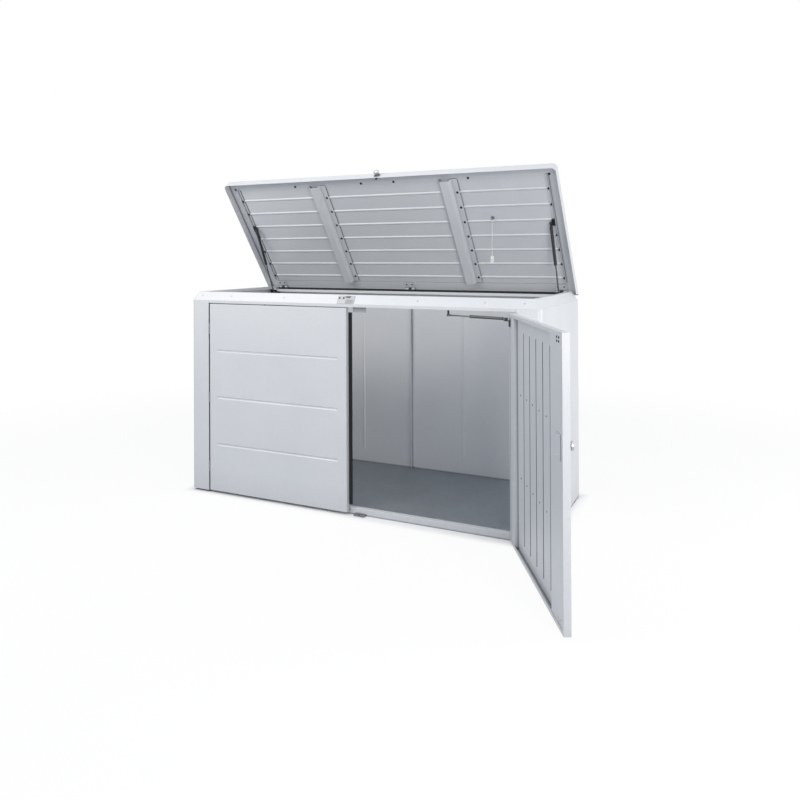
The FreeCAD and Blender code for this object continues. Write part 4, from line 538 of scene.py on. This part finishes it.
SHADOW_RADIUS, WHITE_RADIUS, NEAR_WHITE = 1.6, 4.5, 0.9
SHADE_FROM, SHADE_TO = -20 * MM, 60 * MM
floor_paint, tree, surface, place = new_finish(
    "pale_studio_floor", {"Roughness": 0.9, "Specular IOR Level": 0.2})
mottle = add(tree, "ShaderNodeTexNoise", {
    "Vector": place, "Scale": 1 / (900 * MM), "Detail": 3.0}).outputs["Fac"]
pale = add(tree, "ShaderNodeMix", {0: mottle, 6: linear("A3A9B2"), 7: linear("ABB1BA")}, data_type="RGBA")
seen = looked_at(tree)
pale = add(tree, "ShaderNodeMix", {0: seen, 6: pale.outputs[2], 7: WHITE}, data_type="RGBA")
tree.links.new(pale.outputs[2], surface.inputs["Base Color"])
away = add(tree, "ShaderNodeVectorMath", {0: place}, operation="LENGTH")
fade = add(tree, "ShaderNodeMapRange", {
    "Value": away.outputs["Value"], "From Min": SHADOW_RADIUS, "From Max": WHITE_RADIUS,
    "To Min": NEAR_WHITE, "To Max": 1.0}, interpolation_type="SMOOTHSTEP")
fade = add(tree, "ShaderNodeMath", {0: fade.outputs["Result"], 1: seen}, operation="MULTIPLY")
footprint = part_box("right_side_wall")[1]
reach = add(tree, "ShaderNodeVectorMath", {0: place}, operation="ABSOLUTE")
past = add(tree, "ShaderNodeVectorMath", {
    0: reach.outputs["Vector"], 1: (footprint.x, footprint.y, 0.0)}, operation="SUBTRACT")
past = add(tree, "ShaderNodeSeparateXYZ", {"Vector": past.outputs["Vector"]}).outputs
outside = add(tree, "ShaderNodeMath", {0: past["X"], 1: past["Y"]}, operation="MAXIMUM")
clear = add(tree, "ShaderNodeMapRange", {
    "Value": outside.outputs["Value"], "From Min": SHADE_FROM, "From Max": SHADE_TO},
    interpolation_type="SMOOTHSTEP")
fade = add(tree, "ShaderNodeMath", {
    0: fade.outputs["Value"], 1: clear.outputs["Result"]}, operation="MULTIPLY")
glow = add(tree, "ShaderNodeEmission", {"Color": WHITE, "Strength": 1.0})
both = add(tree, "ShaderNodeMixShader", {
    0: fade.outputs["Value"], 1: surface.outputs["BSDF"], 2: glow.outputs["Emission"]})
sink = next(node for node in tree.nodes if node.type == "OUTPUT_MATERIAL")
tree.links.new(both.outputs["Shader"], sink.inputs["Surface"])
FLOOR_HALF = 40.0
ground = bpy.data.meshes.new("studio_floor")
ground.from_pydata([(-FLOOR_HALF, -FLOOR_HALF, 0.0), (FLOOR_HALF, -FLOOR_HALF, 0.0),
                    (FLOOR_HALF, FLOOR_HALF, 0.0), (-FLOOR_HALF, FLOOR_HALF, 0.0)], [], [(0, 1, 2, 3)])
ground.materials.append(floor_paint)
floor = bpy.data.objects.new("studio_floor", ground)
bpy.context.scene.collection.objects.link(floor)

SKY_LEVEL = 0.46
surround = bpy.data.worlds.new("white_surround")
bpy.context.scene.world = surround
surround.use_nodes = True
tree = surround.node_tree
tree.nodes.clear()
seen = looked_at(tree)
level = add(tree, "ShaderNodeMapRange", {"Value": seen, "To Min": SKY_LEVEL, "To Max": 1.0})
tone = add(tree, "ShaderNodeMix", {0: seen, 6: linear("D8E5FA"), 7: WHITE}, data_type="RGBA")
sky = add(tree, "ShaderNodeBackground", {"Color": tone.outputs[2], "Strength": level.outputs["Result"]})
add(tree, "ShaderNodeOutputWorld", {"Surface": sky.outputs["Background"]})

LAMP_TINT = (1.0, 0.96, 0.9)


def soft_lamp(name, place, aim, width, height, watts):
    """A large rectangular lamp that looks at a point."""
    lamp = bpy.data.lights.new(name, "AREA")
    lamp.shape = "RECTANGLE"
    lamp.size = width
    lamp.size_y = height
    lamp.energy = watts
    lamp.color = LAMP_TINT
    thing = bpy.data.objects.new(name, lamp)
    bpy.context.scene.collection.objects.link(thing)
    thing.location = place
    thing.rotation_euler = (Vector(aim) - Vector(place)).to_track_quat("-Z", "Y").to_euler()


soft_lamp("left_lamp", (-1.8, -2.6, 2.6), (-0.3, 0.0, 1.2), 1.4, 1.0, 47)
soft_lamp("front_lamp", (2.8, -3.2, 1.7), (0.5, -0.2, 0.9), 1.4, 1.4, 59)
soft_lamp("right_lamp", (3.6, 0.5, 1.2), (1.0, 0.0, 0.6), 1.2, 1.2, 38)
soft_lamp("top_lamp", (0.0, -0.7, 3.9), (0.0, -0.1, 0.5), 3.0, 1.4, 22)

bpy.context.scene.view_settings.view_transform = "Standard"
